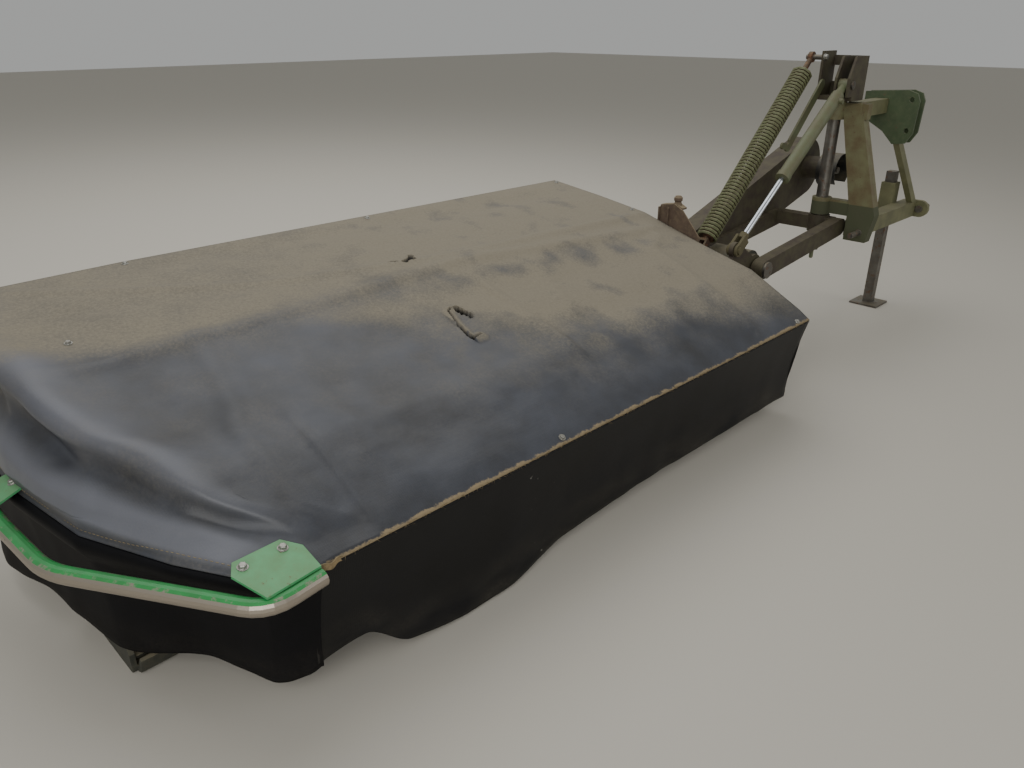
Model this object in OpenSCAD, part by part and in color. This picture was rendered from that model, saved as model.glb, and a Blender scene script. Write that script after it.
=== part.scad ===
// Rear-mounted disc mower with a fabric cover, lowered as it parks.
// X runs from the tractor's centre line to the outer end of the bar, Y points forwards, Z points up.
// The origin is the centre of the upper top link hole. Heights named _h are measured from the floor,
// and depths named _w are measured backwards from the cover's front edge.

/* [Three-point hitch] */
// Height of the lower hitch pins above the floor
pin_h = 560; // [540:5:600]
// Distance between the shoulders of the lower hitch pins
pin_span = 825; // [805:5:845]
// Diameter of a lower hitch pin
pin_d = 28; // [26:0.5:30]
// Free length of a lower hitch pin
pin_len = 96; // [80:1:110]
// How much wider a hitch pin's shank is inside its lug
shank_extra = 6; // [4:1:8]
// Diameter of the lynch pin hole in a hitch pin
lynch_d = 12; // [8:0.5:14]
// Height of the upper top link hole above the lower pins
mast_upper = 610; // [600:5:625]
// Height of the lower top link hole above the lower pins
mast_lower = 460; // [440:5:480]
// Diameter of the top link holes
link_hole_d = 25.7; // [24:0.1:28]
// Clear gap between the two top link plates
link_gap = 54; // [50:1:60]
// Thickness of a top link plate
link_plate_t = 12; // [8:1:16]

/* [Hitch frame] */
// Side of the square cross beam
beam_s = 80; // [70:1:90]
// Distance of the cross beam's centre behind the hitch pins
beam_back = 60; // [55:1:65]
// Thickness of the lug that carries the left hitch pin
lug_t = 26; // [16:1:30]
// Radius of the lugs round the hitch pins
lug_r = 46; // [40:1:52]
// Thickness of the right pillar across the machine
pillar_t = 60; // [50:1:66]
// Height of the pillar's top above the floor
pillar_top_h = 1198; // [1185:1:1205]
// Depth of the pillar at its foot
pillar_foot_d = 136; // [125:1:140]
// Depth of the pillar at its top
pillar_top_d = 88; // [80:1:95]
// How far the pillar leans back from foot to top
pillar_lean = 158; // [150:1:162]
// Side of the top beam between pillar and top link plates
top_beam_s = 70; // [60:1:76]
// Width of the slanting left leg
leg_w = 58; // [50:1:66]
// Thickness of the slanting left leg
leg_t = 32; // [28:1:36]

/* [Parking stand] */
// Side of the stand's square leg
stand_s = 50; // [40:1:54]
// Wall of the stand's sleeve
sleeve_wall = 12; // [10:1:14]
// Length of the stand's sleeve
sleeve_len = 190; // [160:5:220]
// Running gap between the leg and its sleeve
stand_gap = 0.1; // [0.05:0.05:0.2]
// Side of the stand's foot plate
foot_s = 160; // [140:5:180]
// Thickness of the foot plate
foot_t = 10; // [8:1:14]
// Distance of the stand from the centre line
stand_x = 265; // [250:5:280]

/* [Swing frame] */
// Distance of the kingpin from the centre line
king_x = 400; // [395:1:405]
// Distance of the kingpin behind the hitch pins
king_back = 220; // [215:1:225]
// Diameter of the kingpin
king_d = 60; // [54:1:64]
// Running clearance of shafts and pins, on radius
run_gap = 0.05; // [0.02:0.01:0.08]
// Height of a kingpin sleeve
king_sleeve_len = 84; // [70:1:90]
// Wall of a kingpin sleeve
king_sleeve_wall = 17; // [12:1:20]
// Height of the mast head above its base plate
head_len = 200; // [180:5:220]
// Width of the mast head across the machine
head_w = 130; // [120:1:140]
// Thickness of the mast head's plates
head_plate_t = 12; // [10:1:14]
// Height of the carrier arms' section
arm_h = 84; // [70:1:90]
// Thickness of the front carrier arm
arm_t = 55; // [45:1:58]
// Thickness of the rear carrier arm
rear_arm_t = 25; // [16:1:28]

/* [Fold hinge] */
// Distance of the fold hinge from the centre line
hinge_x = 1150; // [1140:1:1160]
// Height of the fold hinge above the floor
hinge_h = 500; // [495:1:510]
// Diameter of the hinge pin
hinge_d = 50; // [44:1:56]
// Thickness of the yoke's plates
yoke_t = 20; // [16:1:22]

/* [Lift cylinder and float spring] */
// Distance of the cylinder's plane behind the hitch pins
lift_back = 162; // [160:1:164]
// Diameter of the cylinder barrel
barrel_d = 60; // [54:1:64]
// Diameter of the chromed rod
rod_d = 25; // [22:1:30]
// Length of the barrel from its eye to its gland
barrel_len = 625; // [610:5:640]
// Diameter of the cylinder's pins
lift_pin_d = 25; // [20:1:28]
// Distance of the spring's plane behind the hitch pins
spring_back = 370; // [366:1:374]
// Mean radius of the spring's turns
coil_r = 44; // [40:1:46]
// Diameter of the spring wire
wire_d = 14; // [12:0.5:15]
// Number of turns in the spring
coil_turns = 54; // [50:1:58]
// Diameter of the spring's anchor pins
anchor_d = 24; // [20:1:28]

/* [Drive] */
// Distance of the input shaft from the centre line
pto_x = 120; // [110:1:130]
// Height of the input shaft above the floor
pto_h = 800; // [790:1:810]
// Diameter of the splined shaft over its tips
pto_d = 34.9; // [34:0.1:36]
// Free length of the splined shaft
pto_len = 76; // [70:1:90]
// Radius of the belt guard at the input end
guard_r_in = 150; // [140:1:155]
// Radius of the belt guard at the hinge end
guard_r_out = 124; // [115:1:130]
// Depth of the belt guard
guard_d = 100; // [90:1:110]
// Wall of the belt guard
guard_wall = 4; // [3:0.5:6]

/* [Cutterbar] */
// Spacing of the discs
disc_pitch = 400; // [390:1:410]
// Distance of the first disc from the centre line
disc_x0 = 1770; // [1760:1:1780]
// Distance of the disc line behind the hitch pins
bar_back = 340; // [330:1:350]
// Reach of a disc along its long axis
disc_long_r = 215; // [205:1:218]
// Reach of a disc along its short axis
disc_short_r = 150; // [140:1:152]
// Reach of a knife's tip
knife_tip_r = 250; // [240:1:255]
// Thickness of a knife
knife_t = 4; // [3:0.5:5]
// Height of the bar's underside above the floor
bar_low_h = 20; // [16:1:24]
// Thickness of the bar
bar_t = 48; // [44:1:52]
// Width of the bar front to back
bar_w = 280; // [265:5:290]
// Width of a skid shoe
skid_w = 210; // [180:5:240]

/* [Cover] */
// Distance of the cover's inner edge from the centre line
cover_x0 = 1446; // [1440:1:1452]
// Distance of the cover's outer edge from the centre line
cover_x1 = 4132; // [4120:1:4145]
// Distance of the cover's front edge in front of the hitch pins
cover_front = 280; // [270:1:290]
// Thickness of the cover's sheet
cover_t = 5; // [4:0.5:8]
// Thickness of the curtains
curtain_t = 5; // [4:0.5:8]
// Diameter of the cover frame's rails
rail_d = 26; // [22:1:30]
// Diameter of the bumper tube
bumper_d = 42; // [36:1:46]
// Height of the bumper tube's centre above the floor
bumper_h = 424; // [418:1:430]
// Wall of the bumper tube
bumper_wall = 3; // [2:0.5:5]
// Length over which each corner of the bumper tube is rounded, on each side
bumper_bend = 60; // [50:5:66]
// Thickness of the bumper brackets
bracket_t = 6; // [5:0.5:8]
// Diameter of the support beam behind the bar
support_d = 70; // [60:1:76]
// Wall of the support beam
support_wall = 6; // [4:0.5:8]

/* [Hidden] */

$fn = 48;
floor_z = -(pin_h + mast_upper);
olive = "#6b7048";
green = "#2f8a4a";
black = "#26272a";
steel = "#8d8f90";
rust = "#6a4a37";

// Centre of the fold hinge, of the cylinder's pins and of the spring's anchors, as [x, height]
hinge_c = [hinge_x, hinge_h];
lift_low_c = [hinge_x + 172, hinge_h + 112];
spring_low_c = [hinge_x + 123, hinge_h + 65];

pillar_x1 = pin_span / 2;
pillar_x0 = pillar_x1 - pillar_t;
king_y = -king_back;
lift_y = -lift_back;
spring_y = -spring_back;
arm_y = -90;
yoke_front_y = lift_y + yoke_t / 2;
yoke_rear_y = spring_y + yoke_t / 2;
rear_arm_y = yoke_rear_y - yoke_t - 55;
guard_y = rear_arm_y - rear_arm_t;
bar_y = -bar_back;
bar_top_h = bar_low_h + bar_t;
head_base_h = pillar_top_h - 18;
head_base_t = 20;
lift_top_c = [king_x + 77, head_base_h + 74];
spring_top_c = [king_x + 30, head_base_h + 190];
plate_x0 = cover_x0 + 2;
plate_t = 14;
disc_count = 6;
bar_x1 = disc_x0 + (disc_count - 1) * disc_pitch + knife_tip_r + 5;
support_y = -560;
support_h = 420;
sleeve_s = stand_s + 2 * (sleeve_wall + stand_gap);
stand_y = -beam_back - beam_s / 2 - sleeve_s / 2;

// Height of the cover over its depth, as columns [w, h]
cover_line = [[0, 430], [48, 461], [282, 580], [545, 647], [850, 735], [1130, 775], [1407, 808]];
// Outer end of the cover from its shoulder down to its lower edge, as corners [x, w, h] in the same order
shoulder = [[3700, 0, 430], [3718, 96, 470], [3890, 290, 574], [4000, 545, 640], [4080, 850, 727],
  [4094, 1130, 767], [4094, 1400, 800]];
foot = [[3745, 0, 430], [3838, 46, 456], [3950, 232, 474], [4050, 482, 474], [4096, 800, 474],
  [4100, 1085, 490], [4100, 1392, 640]];
edge = [[3760, 0, 430], [3862, 24, 446], [3975, 215, 452], [4080, 470, 452], [4128, 800, 452],
  [cover_x1, 1080, 466], [cover_x1 - 14, 1385, 610]];
// Bumper tube's corners in plan, as columns [x, w]
bumper_run = [[3744, -22], [3886, -40], [4168, 420], [4188, 704], [4188, 900]];
// Front curtain, as columns [x, top w, bottom w, bottom height]
front_rows = [[cover_x0, 0, 60, 70], [2000, 0, 72, 62], [2500, 0, 74, 56], [2850, 0, 66, 40],
  [3100, 0, 44, 14], [3300, 0, 34, 10], [3480, 0, 40, 40], [3600, 0, 46, 110], [3724, 0, 50, 90]];
// Inner curtain, as columns [top w, bottom w, bottom height]
inner_rows = [[10, 64, 90], [180, 190, 110], [400, 400, 150]];
// Lower edge of the outer curtain, as corners [x, w, h]
outer_low = [[3733, 50, 70], [3762, 70, 40], [3822, 130, 12], [3905, 290, 70], [4052, 470, 95], [4085, 800, 130],
  [4090, 1080, 130], [4075, 1370, 140]];

function depth_y(w) = cover_front - w;
function line_h(w, i = 0) = i >= len(cover_line) - 2 || w <= cover_line[i + 1][0]
  ? cover_line[i][1] + (w - cover_line[i][0])
    * (cover_line[i + 1][1] - cover_line[i][1]) / (cover_line[i + 1][0] - cover_line[i][0])
  : line_h(w, i + 1);

module on_floor() translate([0, 0, floor_z]) children();
// A flat outline of depth and height, made thick along X from x0
module plate_x(x0, t) translate([x0, 0, 0]) rotate([90, 0, 90]) linear_extrude(t) children();
// A flat outline of width and height, made thick backwards from y0
module plate_y(y0, t) translate([0, y0, 0]) rotate([90, 0, 0]) linear_extrude(t) children();
module rod_x(x0, x1, y, h, d) translate([x0, y, h]) rotate([0, 90, 0]) cylinder(h = x1 - x0, d = d);
module rod_y(y0, y1, x, h, d) translate([x, y0, h]) rotate([-90, 0, 0]) cylinder(h = y1 - y0, d = d);
// A flat bar with round ends from p to q
module bar2d(p, q, w) {
  run = norm(q - p);
  translate(p) rotate(atan2(q[1] - p[1], q[0] - p[0])) {
    translate([0, -w / 2]) square([run, w]);
    circle(d = w);
    translate([run, 0]) circle(d = w);
  }
}
// Points of a run whose corners are rounded over a length on each side
function bend_run(pts, ease, n = 5) = concat([pts[0]], [for (i = [1 : len(pts) - 2])
  let (p = pts[i], u = pts[i - 1] - p, v = pts[i + 1] - p, a = p + ease * u / norm(u), c = p + ease * v / norm(v))
  for (k = [0 : n]) let (t = k / n) (1 - t) * (1 - t) * a + 2 * t * (1 - t) * p + t * t * c], [pts[len(pts) - 1]]);
// An open-ended tube swept along a level run of points
module level_tube(pts, r_out, r_in, sides = 16) {
  n = len(pts);
  function way(i) = let (v = pts[min(i + 1, n - 1)] - pts[max(i - 1, 0)]) v / norm(v);
  function at(i, j, k) = (k * n + i) * sides + j % sides;
  rings = [for (r = [r_out, r_in]) for (i = [0 : n - 1]) for (j = [0 : sides - 1])
    let (a = 360 * j / sides, w = way(i)) pts[i] + r * cos(a) * [w[1], -w[0], 0] + [0, 0, r * sin(a)]];
  faces = concat(
    [for (i = [0 : n - 2]) for (j = [0 : sides - 1]) for (f = [
      [at(i, j, 0), at(i, j + 1, 0), at(i + 1, j + 1, 0)], [at(i, j, 0), at(i + 1, j + 1, 0), at(i + 1, j, 0)],
      [at(i, j, 1), at(i + 1, j + 1, 1), at(i, j + 1, 1)], [at(i, j, 1), at(i + 1, j, 1), at(i + 1, j + 1, 1)]]) f],
    [for (j = [0 : sides - 1]) for (f = [
      [at(0, j, 0), at(0, j, 1), at(0, j + 1, 1)], [at(0, j, 0), at(0, j + 1, 1), at(0, j + 1, 0)],
      [at(n - 1, j, 0), at(n - 1, j + 1, 1), at(n - 1, j, 1)],
      [at(n - 1, j, 0), at(n - 1, j + 1, 0), at(n - 1, j + 1, 1)]]) f]);
  polyhedron(rings, faces);
}
// A flat tilted plate over a ring of points, thick upwards
module slab(ring, t) {
  n = len(ring);
  polyhedron(concat(ring, [for (p = ring) p + [0, 0, t]]), concat([[for (i = [0 : n - 1]) i]],
    [[for (i = [n - 1 : -1 : 0]) n + i]], [for (i = [0 : n - 1]) [i, n + i, n + (i + 1) % n, (i + 1) % n]]));
}
// A closed skin between two grids of points with as many rows and columns
module skin(upper, lower) {
  rows = len(upper);
  cols = len(upper[0]);
  n = rows * cols;
  pts = concat([for (r = upper) for (p = r) p], [for (r = lower) for (p = r) p]);
  function at(i, j, k) = k * n + i * cols + j;
  faces = concat(
    [for (i = [0 : rows - 2]) for (j = [0 : cols - 2]) for (f = [
      [at(i, j, 0), at(i + 1, j, 0), at(i + 1, j + 1, 0)], [at(i, j, 0), at(i + 1, j + 1, 0), at(i, j + 1, 0)],
      [at(i, j, 1), at(i + 1, j + 1, 1), at(i + 1, j, 1)], [at(i, j, 1), at(i, j + 1, 1), at(i + 1, j + 1, 1)]]) f],
    [for (i = [0 : rows - 2]) for (f = [
      [at(i, 0, 0), at(i, 0, 1), at(i + 1, 0, 1)], [at(i, 0, 0), at(i + 1, 0, 1), at(i + 1, 0, 0)],
      [at(i, cols - 1, 0), at(i + 1, cols - 1, 1), at(i, cols - 1, 1)],
      [at(i, cols - 1, 0), at(i + 1, cols - 1, 0), at(i + 1, cols - 1, 1)]]) f],
    [for (j = [0 : cols - 2]) for (f = [
      [at(0, j, 0), at(0, j + 1, 1), at(0, j, 1)], [at(0, j, 0), at(0, j + 1, 0), at(0, j + 1, 1)],
      [at(rows - 1, j, 0), at(rows - 1, j, 1), at(rows - 1, j + 1, 1)],
      [at(rows - 1, j, 0), at(rows - 1, j + 1, 1), at(rows - 1, j + 1, 0)]]) f]);
  polyhedron(pts, faces);
}

// Hitch frame

module cross_beam() color(olive) on_floor() {
  difference() {
    union() {
      translate([-pin_span / 2, -beam_back - beam_s / 2, pin_h - beam_s / 2])
        cube([pin_span / 2 + pillar_x0, beam_s, beam_s]);
      plate_x(-pin_span / 2, lug_t) {
        translate([0, pin_h]) circle(r = lug_r);
        translate([-beam_back, pin_h - lug_r]) square([beam_back, 2 * lug_r]);
      }
      translate([-stand_x - sleeve_s / 2, stand_y - sleeve_s / 2, pin_h - beam_s / 2])
        cube([sleeve_s, sleeve_s, sleeve_len]);
    }
    stand_hole();
    rod_x(-pin_span / 2 - 1, -pin_span / 2 + lug_t + 1, 0, pin_h, shank_d + 2 * run_gap);
  }
}

module stand_hole() translate([-stand_x, stand_y, pin_h])
  cube([stand_s + 2 * stand_gap, stand_s + 2 * stand_gap, 3 * sleeve_len], center = true);

module right_pillar() color(olive) on_floor() difference() {
  foot_y0 = -pillar_foot_d / 2 - 4;
  foot_y1 = foot_y0 + pillar_foot_d;
  union() {
    plate_x(pillar_x0, pillar_t) {
      polygon([[foot_y0, pin_h - lug_r], [lug_r - 8, pin_h - lug_r], [foot_y1, pin_h + 90],
        [foot_y1 - pillar_lean, head_base_h - 6], [foot_y1 - pillar_lean - pillar_top_d, head_base_h - 30],
        [foot_y0, pin_h + 130]]);
      translate([0, pin_h]) circle(r = lug_r);
    }
    for (h = [king_low_sleeve_h, king_high_sleeve_h]) {
      translate([king_x, king_y, h]) cylinder(h = king_sleeve_len, r = king_d / 2 + king_sleeve_wall);
      translate([pillar_x0 + 8, king_y, h + 6]) cube([pillar_t - 16, -king_y - 60, king_sleeve_len - 12]);
    }
  }
  translate([king_x, king_y, 0]) cylinder(h = 2 * pillar_top_h, d = king_d + 2 * run_gap);
  rod_x(pillar_x0 - 1, pillar_x1 + 1, 0, pin_h, shank_d + 2 * run_gap);
}
king_low_sleeve_h = pin_h + 66;
king_high_sleeve_h = head_base_h - 6 - king_sleeve_len;

module top_beam() color(olive) on_floor()
  translate([-link_gap / 2 - link_plate_t - leg_w, top_beam_y - top_beam_s / 2, top_beam_h - top_beam_s / 2])
    cube([pillar_x0 + link_gap / 2 + link_plate_t + leg_w, top_beam_s, top_beam_s]);
top_beam_y = -148;
top_beam_h = head_base_h - 45;

// Leg that slants from the cross beam's outer end up to the top beam, leaning back as it rises
module left_leg() color(olive) on_floor() hull() {
  translate([-pin_span / 2 + lug_t + 0.3, -beam_back + beam_s / 2 - leg_t - 5, pin_h + beam_s / 2])
    cube([leg_w, leg_t, 1]);
  translate([-link_gap / 2 - link_plate_t - leg_w, top_beam_y + top_beam_s / 2 - leg_t - 5,
    top_beam_h - top_beam_s / 2 - 1]) cube([leg_w, leg_t, 1]);
}

// The two top link plates, cut like the real gusset, notched over the top beam
module top_link_bracket() color(green) on_floor() for (side = [-1, 1])
  plate_x(side * (link_gap + link_plate_t) / 2 - link_plate_t / 2, link_plate_t) difference() {
    polygon([[-238, pin_h + 640], [-20, pin_h + mast_upper + 44], [24, pin_h + mast_upper + 30],
      [40, pin_h + mast_upper - 6], [34, pin_h + mast_lower - 10], [4, pin_h + mast_lower - 62],
      [-60, pin_h + mast_lower - 70], [-120, pin_h + mast_lower - 10], [-210, pin_h + mast_lower + 40],
      [-238, pin_h + mast_lower + 80]]);
    translate([top_beam_y - top_beam_s / 2, top_beam_h - top_beam_s / 2]) square(top_beam_s);
    for (h = [mast_lower, mast_upper]) translate([0, pin_h + h]) circle(d = link_hole_d);
  }

shank_d = pin_d + shank_extra;
module hitch_pins() color(steel) on_floor() for (side = [-1, 1]) difference() {
  inner = side > 0 ? pillar_t : lug_t;
  translate([side * pin_span / 2, 0, pin_h]) rotate([0, side * 90, 0]) {
    cylinder(h = pin_len, d = pin_d);
    translate([0, 0, -inner]) cylinder(h = inner, d = shank_d);
    translate([0, 0, -inner - 14]) cylinder(h = 14, d = 1.4 * pin_d);
  }
  translate([side * (pin_span / 2 + pin_len - 14), 0, pin_h - pin_d]) cylinder(h = 2 * pin_d, d = lynch_d);
}

module parking_stand() color(steel) on_floor() {
  translate([-stand_x - stand_s / 2, stand_y - stand_s / 2, foot_t])
    cube([stand_s, stand_s, pin_h - beam_s / 2 + sleeve_len + 60 - foot_t]);
  translate([-stand_x - foot_s / 2, stand_y - foot_s / 2, 0]) cube([foot_s, foot_s, foot_t]);
}

// Swing frame

module kingpin() color(steel) on_floor() translate([king_x, king_y, 0]) {
  translate([0, 0, arm_boss_h0]) cylinder(h = head_base_h + head_base_t - arm_boss_h0, d = king_d);
  translate([0, 0, arm_boss_h0 - 30]) cylinder(h = 30, d = king_d * 1.3);
  translate([0, 0, arm_boss_h0 - 100]) cylinder(h = 100, d = king_d * 0.62);
}
arm_boss_h0 = pin_h - 26;
arm_boss_h1 = king_low_sleeve_h - 6;

module carrier_head() color(olive) on_floor() difference() {
  union() {
    translate([king_x, king_y, arm_boss_h0]) cylinder(h = arm_boss_h1 - arm_boss_h0, d = king_d + 44);
    translate([king_x - 36, guard_y + rear_arm_t, arm_boss_h0 + 10])
      cube([72, arm_y - arm_t - guard_y - rear_arm_t, arm_boss_h1 - arm_boss_h0 - 20]);
  }
  translate([king_x, king_y, 0]) cylinder(h = pin_h * 2, d = king_d);
}

module carrier_arm() color(olive) on_floor() difference() {
  plate_y(arm_y, arm_t) bar2d([king_x + 10, pin_h + 14], hinge_c, arm_h);
  rod_y(arm_y - arm_t - 1, arm_y + 1, hinge_x, hinge_h, hinge_d);
}

module carrier_rear_arm() color(olive) on_floor() difference() {
  plate_y(rear_arm_y, rear_arm_t) bar2d([king_x + 10, pin_h + 14], hinge_c, arm_h);
  rod_y(rear_arm_y - rear_arm_t - 1, rear_arm_y + 1, hinge_x, hinge_h, hinge_d);
}

module hinge_pin() color(steel) on_floor() {
  rod_y(guard_y, arm_y, hinge_x, hinge_h, hinge_d);
  rod_y(arm_y, arm_y + 12, hinge_x, hinge_h, hinge_d * 1.5);
}

// Three upright plates on a base; the front two hold the cylinder's eye between them
module mast_head() color(olive) on_floor() difference() {
  union() {
    translate([king_x - head_w / 2, head_rear_y, head_base_h])
      cube([head_w, head_front_y - head_rear_y, head_base_t]);
    for (y = [head_front_y, head_mid_y]) plate_y(y, head_plate_t) polygon([
      [king_x - head_w / 2, head_base_h + head_base_t], [lift_top_c[0] + 34, head_base_h + head_base_t],
      [lift_top_c[0] + 34, lift_top_c[1] + 30], [king_x + head_w / 2, head_base_h + head_len],
      [king_x - head_w / 2, head_base_h + head_len]]);
    plate_y(head_rear_y + head_plate_t, head_plate_t)
      translate([king_x - head_w / 2, head_base_h + head_base_t]) square([head_w, head_len]);
    translate([king_x - head_w / 2, head_rear_y + head_plate_t, head_base_h + head_len - 46])
      cube([head_plate_t, head_front_y - head_rear_y - 2 * head_plate_t, 46]);
    translate([king_x - head_w / 2, head_rear_y + head_plate_t, head_base_h + head_base_t])
      cube([head_plate_t, head_front_y - head_rear_y - 2 * head_plate_t, 60]);
  }
  translate([king_x, king_y, 0]) cylinder(h = 2 * pillar_top_h, d = king_d);
  rod_y(head_mid_y - head_plate_t - 1, head_front_y + 1, lift_top_c[0], lift_top_c[1], lift_pin_d);
  rod_y(head_rear_y - 1, head_rear_y + head_plate_t + 1, spring_top_c[0], spring_top_c[1], anchor_d);
}
head_front_y = lift_y + 25 + head_plate_t;
head_mid_y = lift_y - 25;
head_rear_y = spring_y + coil_r + wire_d / 2 + 17;

module mast_pins() color(steel) on_floor() {
  rod_y(head_mid_y - head_plate_t, head_front_y, lift_top_c[0], lift_top_c[1], lift_pin_d);
  rod_y(head_front_y, head_front_y + 8, lift_top_c[0], lift_top_c[1], lift_pin_d * 1.5);
  rod_y(spring_y - 24, head_rear_y + head_plate_t, spring_top_c[0], spring_top_c[1], anchor_d);
}

// Hooked arm that catches the yoke when the bar stands upright
module transport_lock() color(olive) on_floor() plate_y(head_rear_y + head_plate_t + 10, 10) difference() {
  union() {
    bar2d([king_x + 56, head_base_h + 72], [king_x + 320, head_base_h - 200], 44);
    bar2d([king_x + 320, head_base_h - 200], [king_x + 372, head_base_h - 190], 30);
  }
  translate([king_x + 330, head_base_h - 175]) circle(d = 26);
}

// Points of an arc round c
function arc(c, r, from, turn, n) = [for (k = [0 : n]) c + r * [cos(from + turn * k / n), sin(from + turn * k / n)]];
// The belt guard's outline, two arcs joined by straight runs, drawn in by a wall
module guard2d(wall) {
  p = [pto_x, pto_h];
  run = hinge_c - p;
  a = atan2(run[1], run[0]);
  b = acos((guard_r_in - guard_r_out) / norm(run));
  polygon(concat(arc(p, guard_r_in - wall, a + b, 360 - 2 * b, 32),
    arc(hinge_c, guard_r_out - wall, a - b, 2 * b, 28)));
}

module belt_guard() color(olive) on_floor() difference() {
  union() {
    plate_y(guard_y, guard_d - guard_wall) guard2d(0);
    rod_y(guard_y, guard_y + 96, pto_x, pto_h, 120);
  }
  plate_y(guard_y - guard_wall, guard_d) guard2d(guard_wall);
  rod_y(guard_y - 2 * guard_wall, guard_y + 100, pto_x, pto_h, pto_hub_d + 2 * run_gap);
}
pto_hub_d = 45;

module belt_guard_lid() color(olive) on_floor() plate_y(guard_y - guard_d + guard_wall, guard_wall) guard2d(0);

// Shield round the input shaft, cut away below where the shaft's yoke is fastened
module pto_shield() color(black) on_floor() translate([pto_x, guard_y + 96, pto_h]) rotate([-90, 0, 0])
  difference() {
    cylinder(h = 104, d = 178);
    translate([0, 0, 5]) cylinder(h = 104, d = 170);
    translate([0, 0, -1]) cylinder(h = 10, d = 70);
    translate([-60, 20, 24]) cube([120, 100, 100]);
  }

module pto_shaft() color(steel) on_floor() {
  rod_y(guard_y - 20, guard_y + 104, pto_x, pto_h, pto_hub_d);
  rod_y(guard_y + 104, guard_y + 104 + pto_len, pto_x, pto_h, pto_d);
}

// Lift cylinder and float spring

lift_run = lift_low_c - lift_top_c;
lift_len = norm(lift_run);
lift_tilt = atan2(lift_run[0], lift_run[1]);
// Puts a shape drawn along Z onto the cylinder's line, from its upper pin
module along_lift() on_floor() translate([lift_top_c[0], lift_y, lift_top_c[1]]) rotate([0, lift_tilt, 0]) children();

module lift_barrel() color(olive) along_lift() difference() {
  union() {
    rotate([90, 0, 0]) cylinder(h = 44, d = 56, center = true);
    cylinder(h = 76, d = barrel_d - 20);
    translate([0, 0, 72]) cylinder(h = barrel_len - 100, d = barrel_d);
    translate([0, 0, barrel_len - 30]) cylinder(h = 30, d = barrel_d + 6);
    translate([0, 0, 110]) rotate([-90, 0, 0]) cylinder(h = barrel_d / 2 + 14, d = 26);
  }
  rotate([90, 0, 0]) cylinder(h = 60, d = lift_pin_d + 2 * run_gap, center = true);
  translate([0, 0, barrel_len - 480]) cylinder(h = 500, d = rod_d + 2 * run_gap);
}

// The rod's fork carries the ends of its pin outside its cheeks, so that it clears the yoke as it folds
module lift_rod() color("#c9ccd0") along_lift() {
  translate([0, 0, barrel_len - 100]) cylinder(h = lift_len - barrel_len + 32, d = rod_d);
  translate([0, 0, lift_len - 92]) cylinder(h = 30, d = 42);
  for (s = [-1, 1]) translate([0, s * (yoke_t / 2 + 2 + 6), 0]) rotate([90, 0, 0]) {
    translate([0, lift_len, -6]) cylinder(h = 12, d = 56);
    translate([-24, lift_len - 72, -6]) cube([48, 72, 12]);
    translate([0, lift_len, s > 0 ? -14 : 5]) cylinder(h = 9, d = 1.4 * lift_pin_d);
  }
}

spring_run = spring_low_c - spring_top_c;
spring_len = norm(spring_run);
coil_start = 95;
coil_end = spring_len - 55;
module along_spring() on_floor() translate([spring_top_c[0], spring_y, spring_top_c[1]])
  rotate([0, atan2(spring_run[0], spring_run[1]), 0]) children();

module float_spring() color(olive) along_spring() {
  steps = 10;
  sides = 5;
  n = coil_turns * steps;
  rise = (coil_end - coil_start - wire_d) / n;
  pts = [for (i = [0 : n]) for (j = [0 : sides - 1]) let (a = 360 * i / steps, b = 360 * j / sides,
    r = coil_r + wire_d / 2 * cos(b)) [r * cos(a), r * sin(a), coil_start + wire_d / 2 + rise * i + wire_d / 2 * sin(b)]];
  faces = concat([[for (j = [0 : sides - 1]) j]], [[for (j = [sides - 1 : -1 : 0]) n * sides + j]],
    [for (i = [0 : n - 1]) for (j = [0 : sides - 1]) let (k = (j + 1) % sides) for (f = [
      [i * sides + j, (i + 1) * sides + j, (i + 1) * sides + k],
      [i * sides + j, (i + 1) * sides + k, i * sides + k]]) f]);
  polyhedron(pts, faces);
}

// Threaded plugs in the coil's ends, each with its eye
module spring_ends() color(rust) along_spring() for (low = [0, 1])
  translate([0, 0, low * spring_len]) rotate([low * 180, 0, 0]) difference() {
    reach = low == 1 ? spring_len - coil_end : coil_start;
    fork = 46;
    union() {
      translate([0, 0, reach + wire_d]) cylinder(h = 50, r = coil_r - wire_d / 2 - 1.5);
      translate([0, 0, low * fork]) cylinder(h = reach + wire_d + 1 - low * fork, d = 26);
      if (low == 0) rotate([90, 0, 0]) cylinder(h = 20, d = 50, center = true);
      if (low == 1) {
        for (s = [-1, 1]) translate([-18, s * (yoke_t / 2 + 8) - 5, -18]) cube([36, 10, fork + 16]);
        translate([-18, -yoke_t / 2 - 13, fork - 4]) cube([36, yoke_t + 26, 14]);
      }
    }
    rotate([90, 0, 0]) cylinder(h = 80, d = anchor_d + 2 * run_gap, center = true);
  }

// Cutter unit

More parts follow.
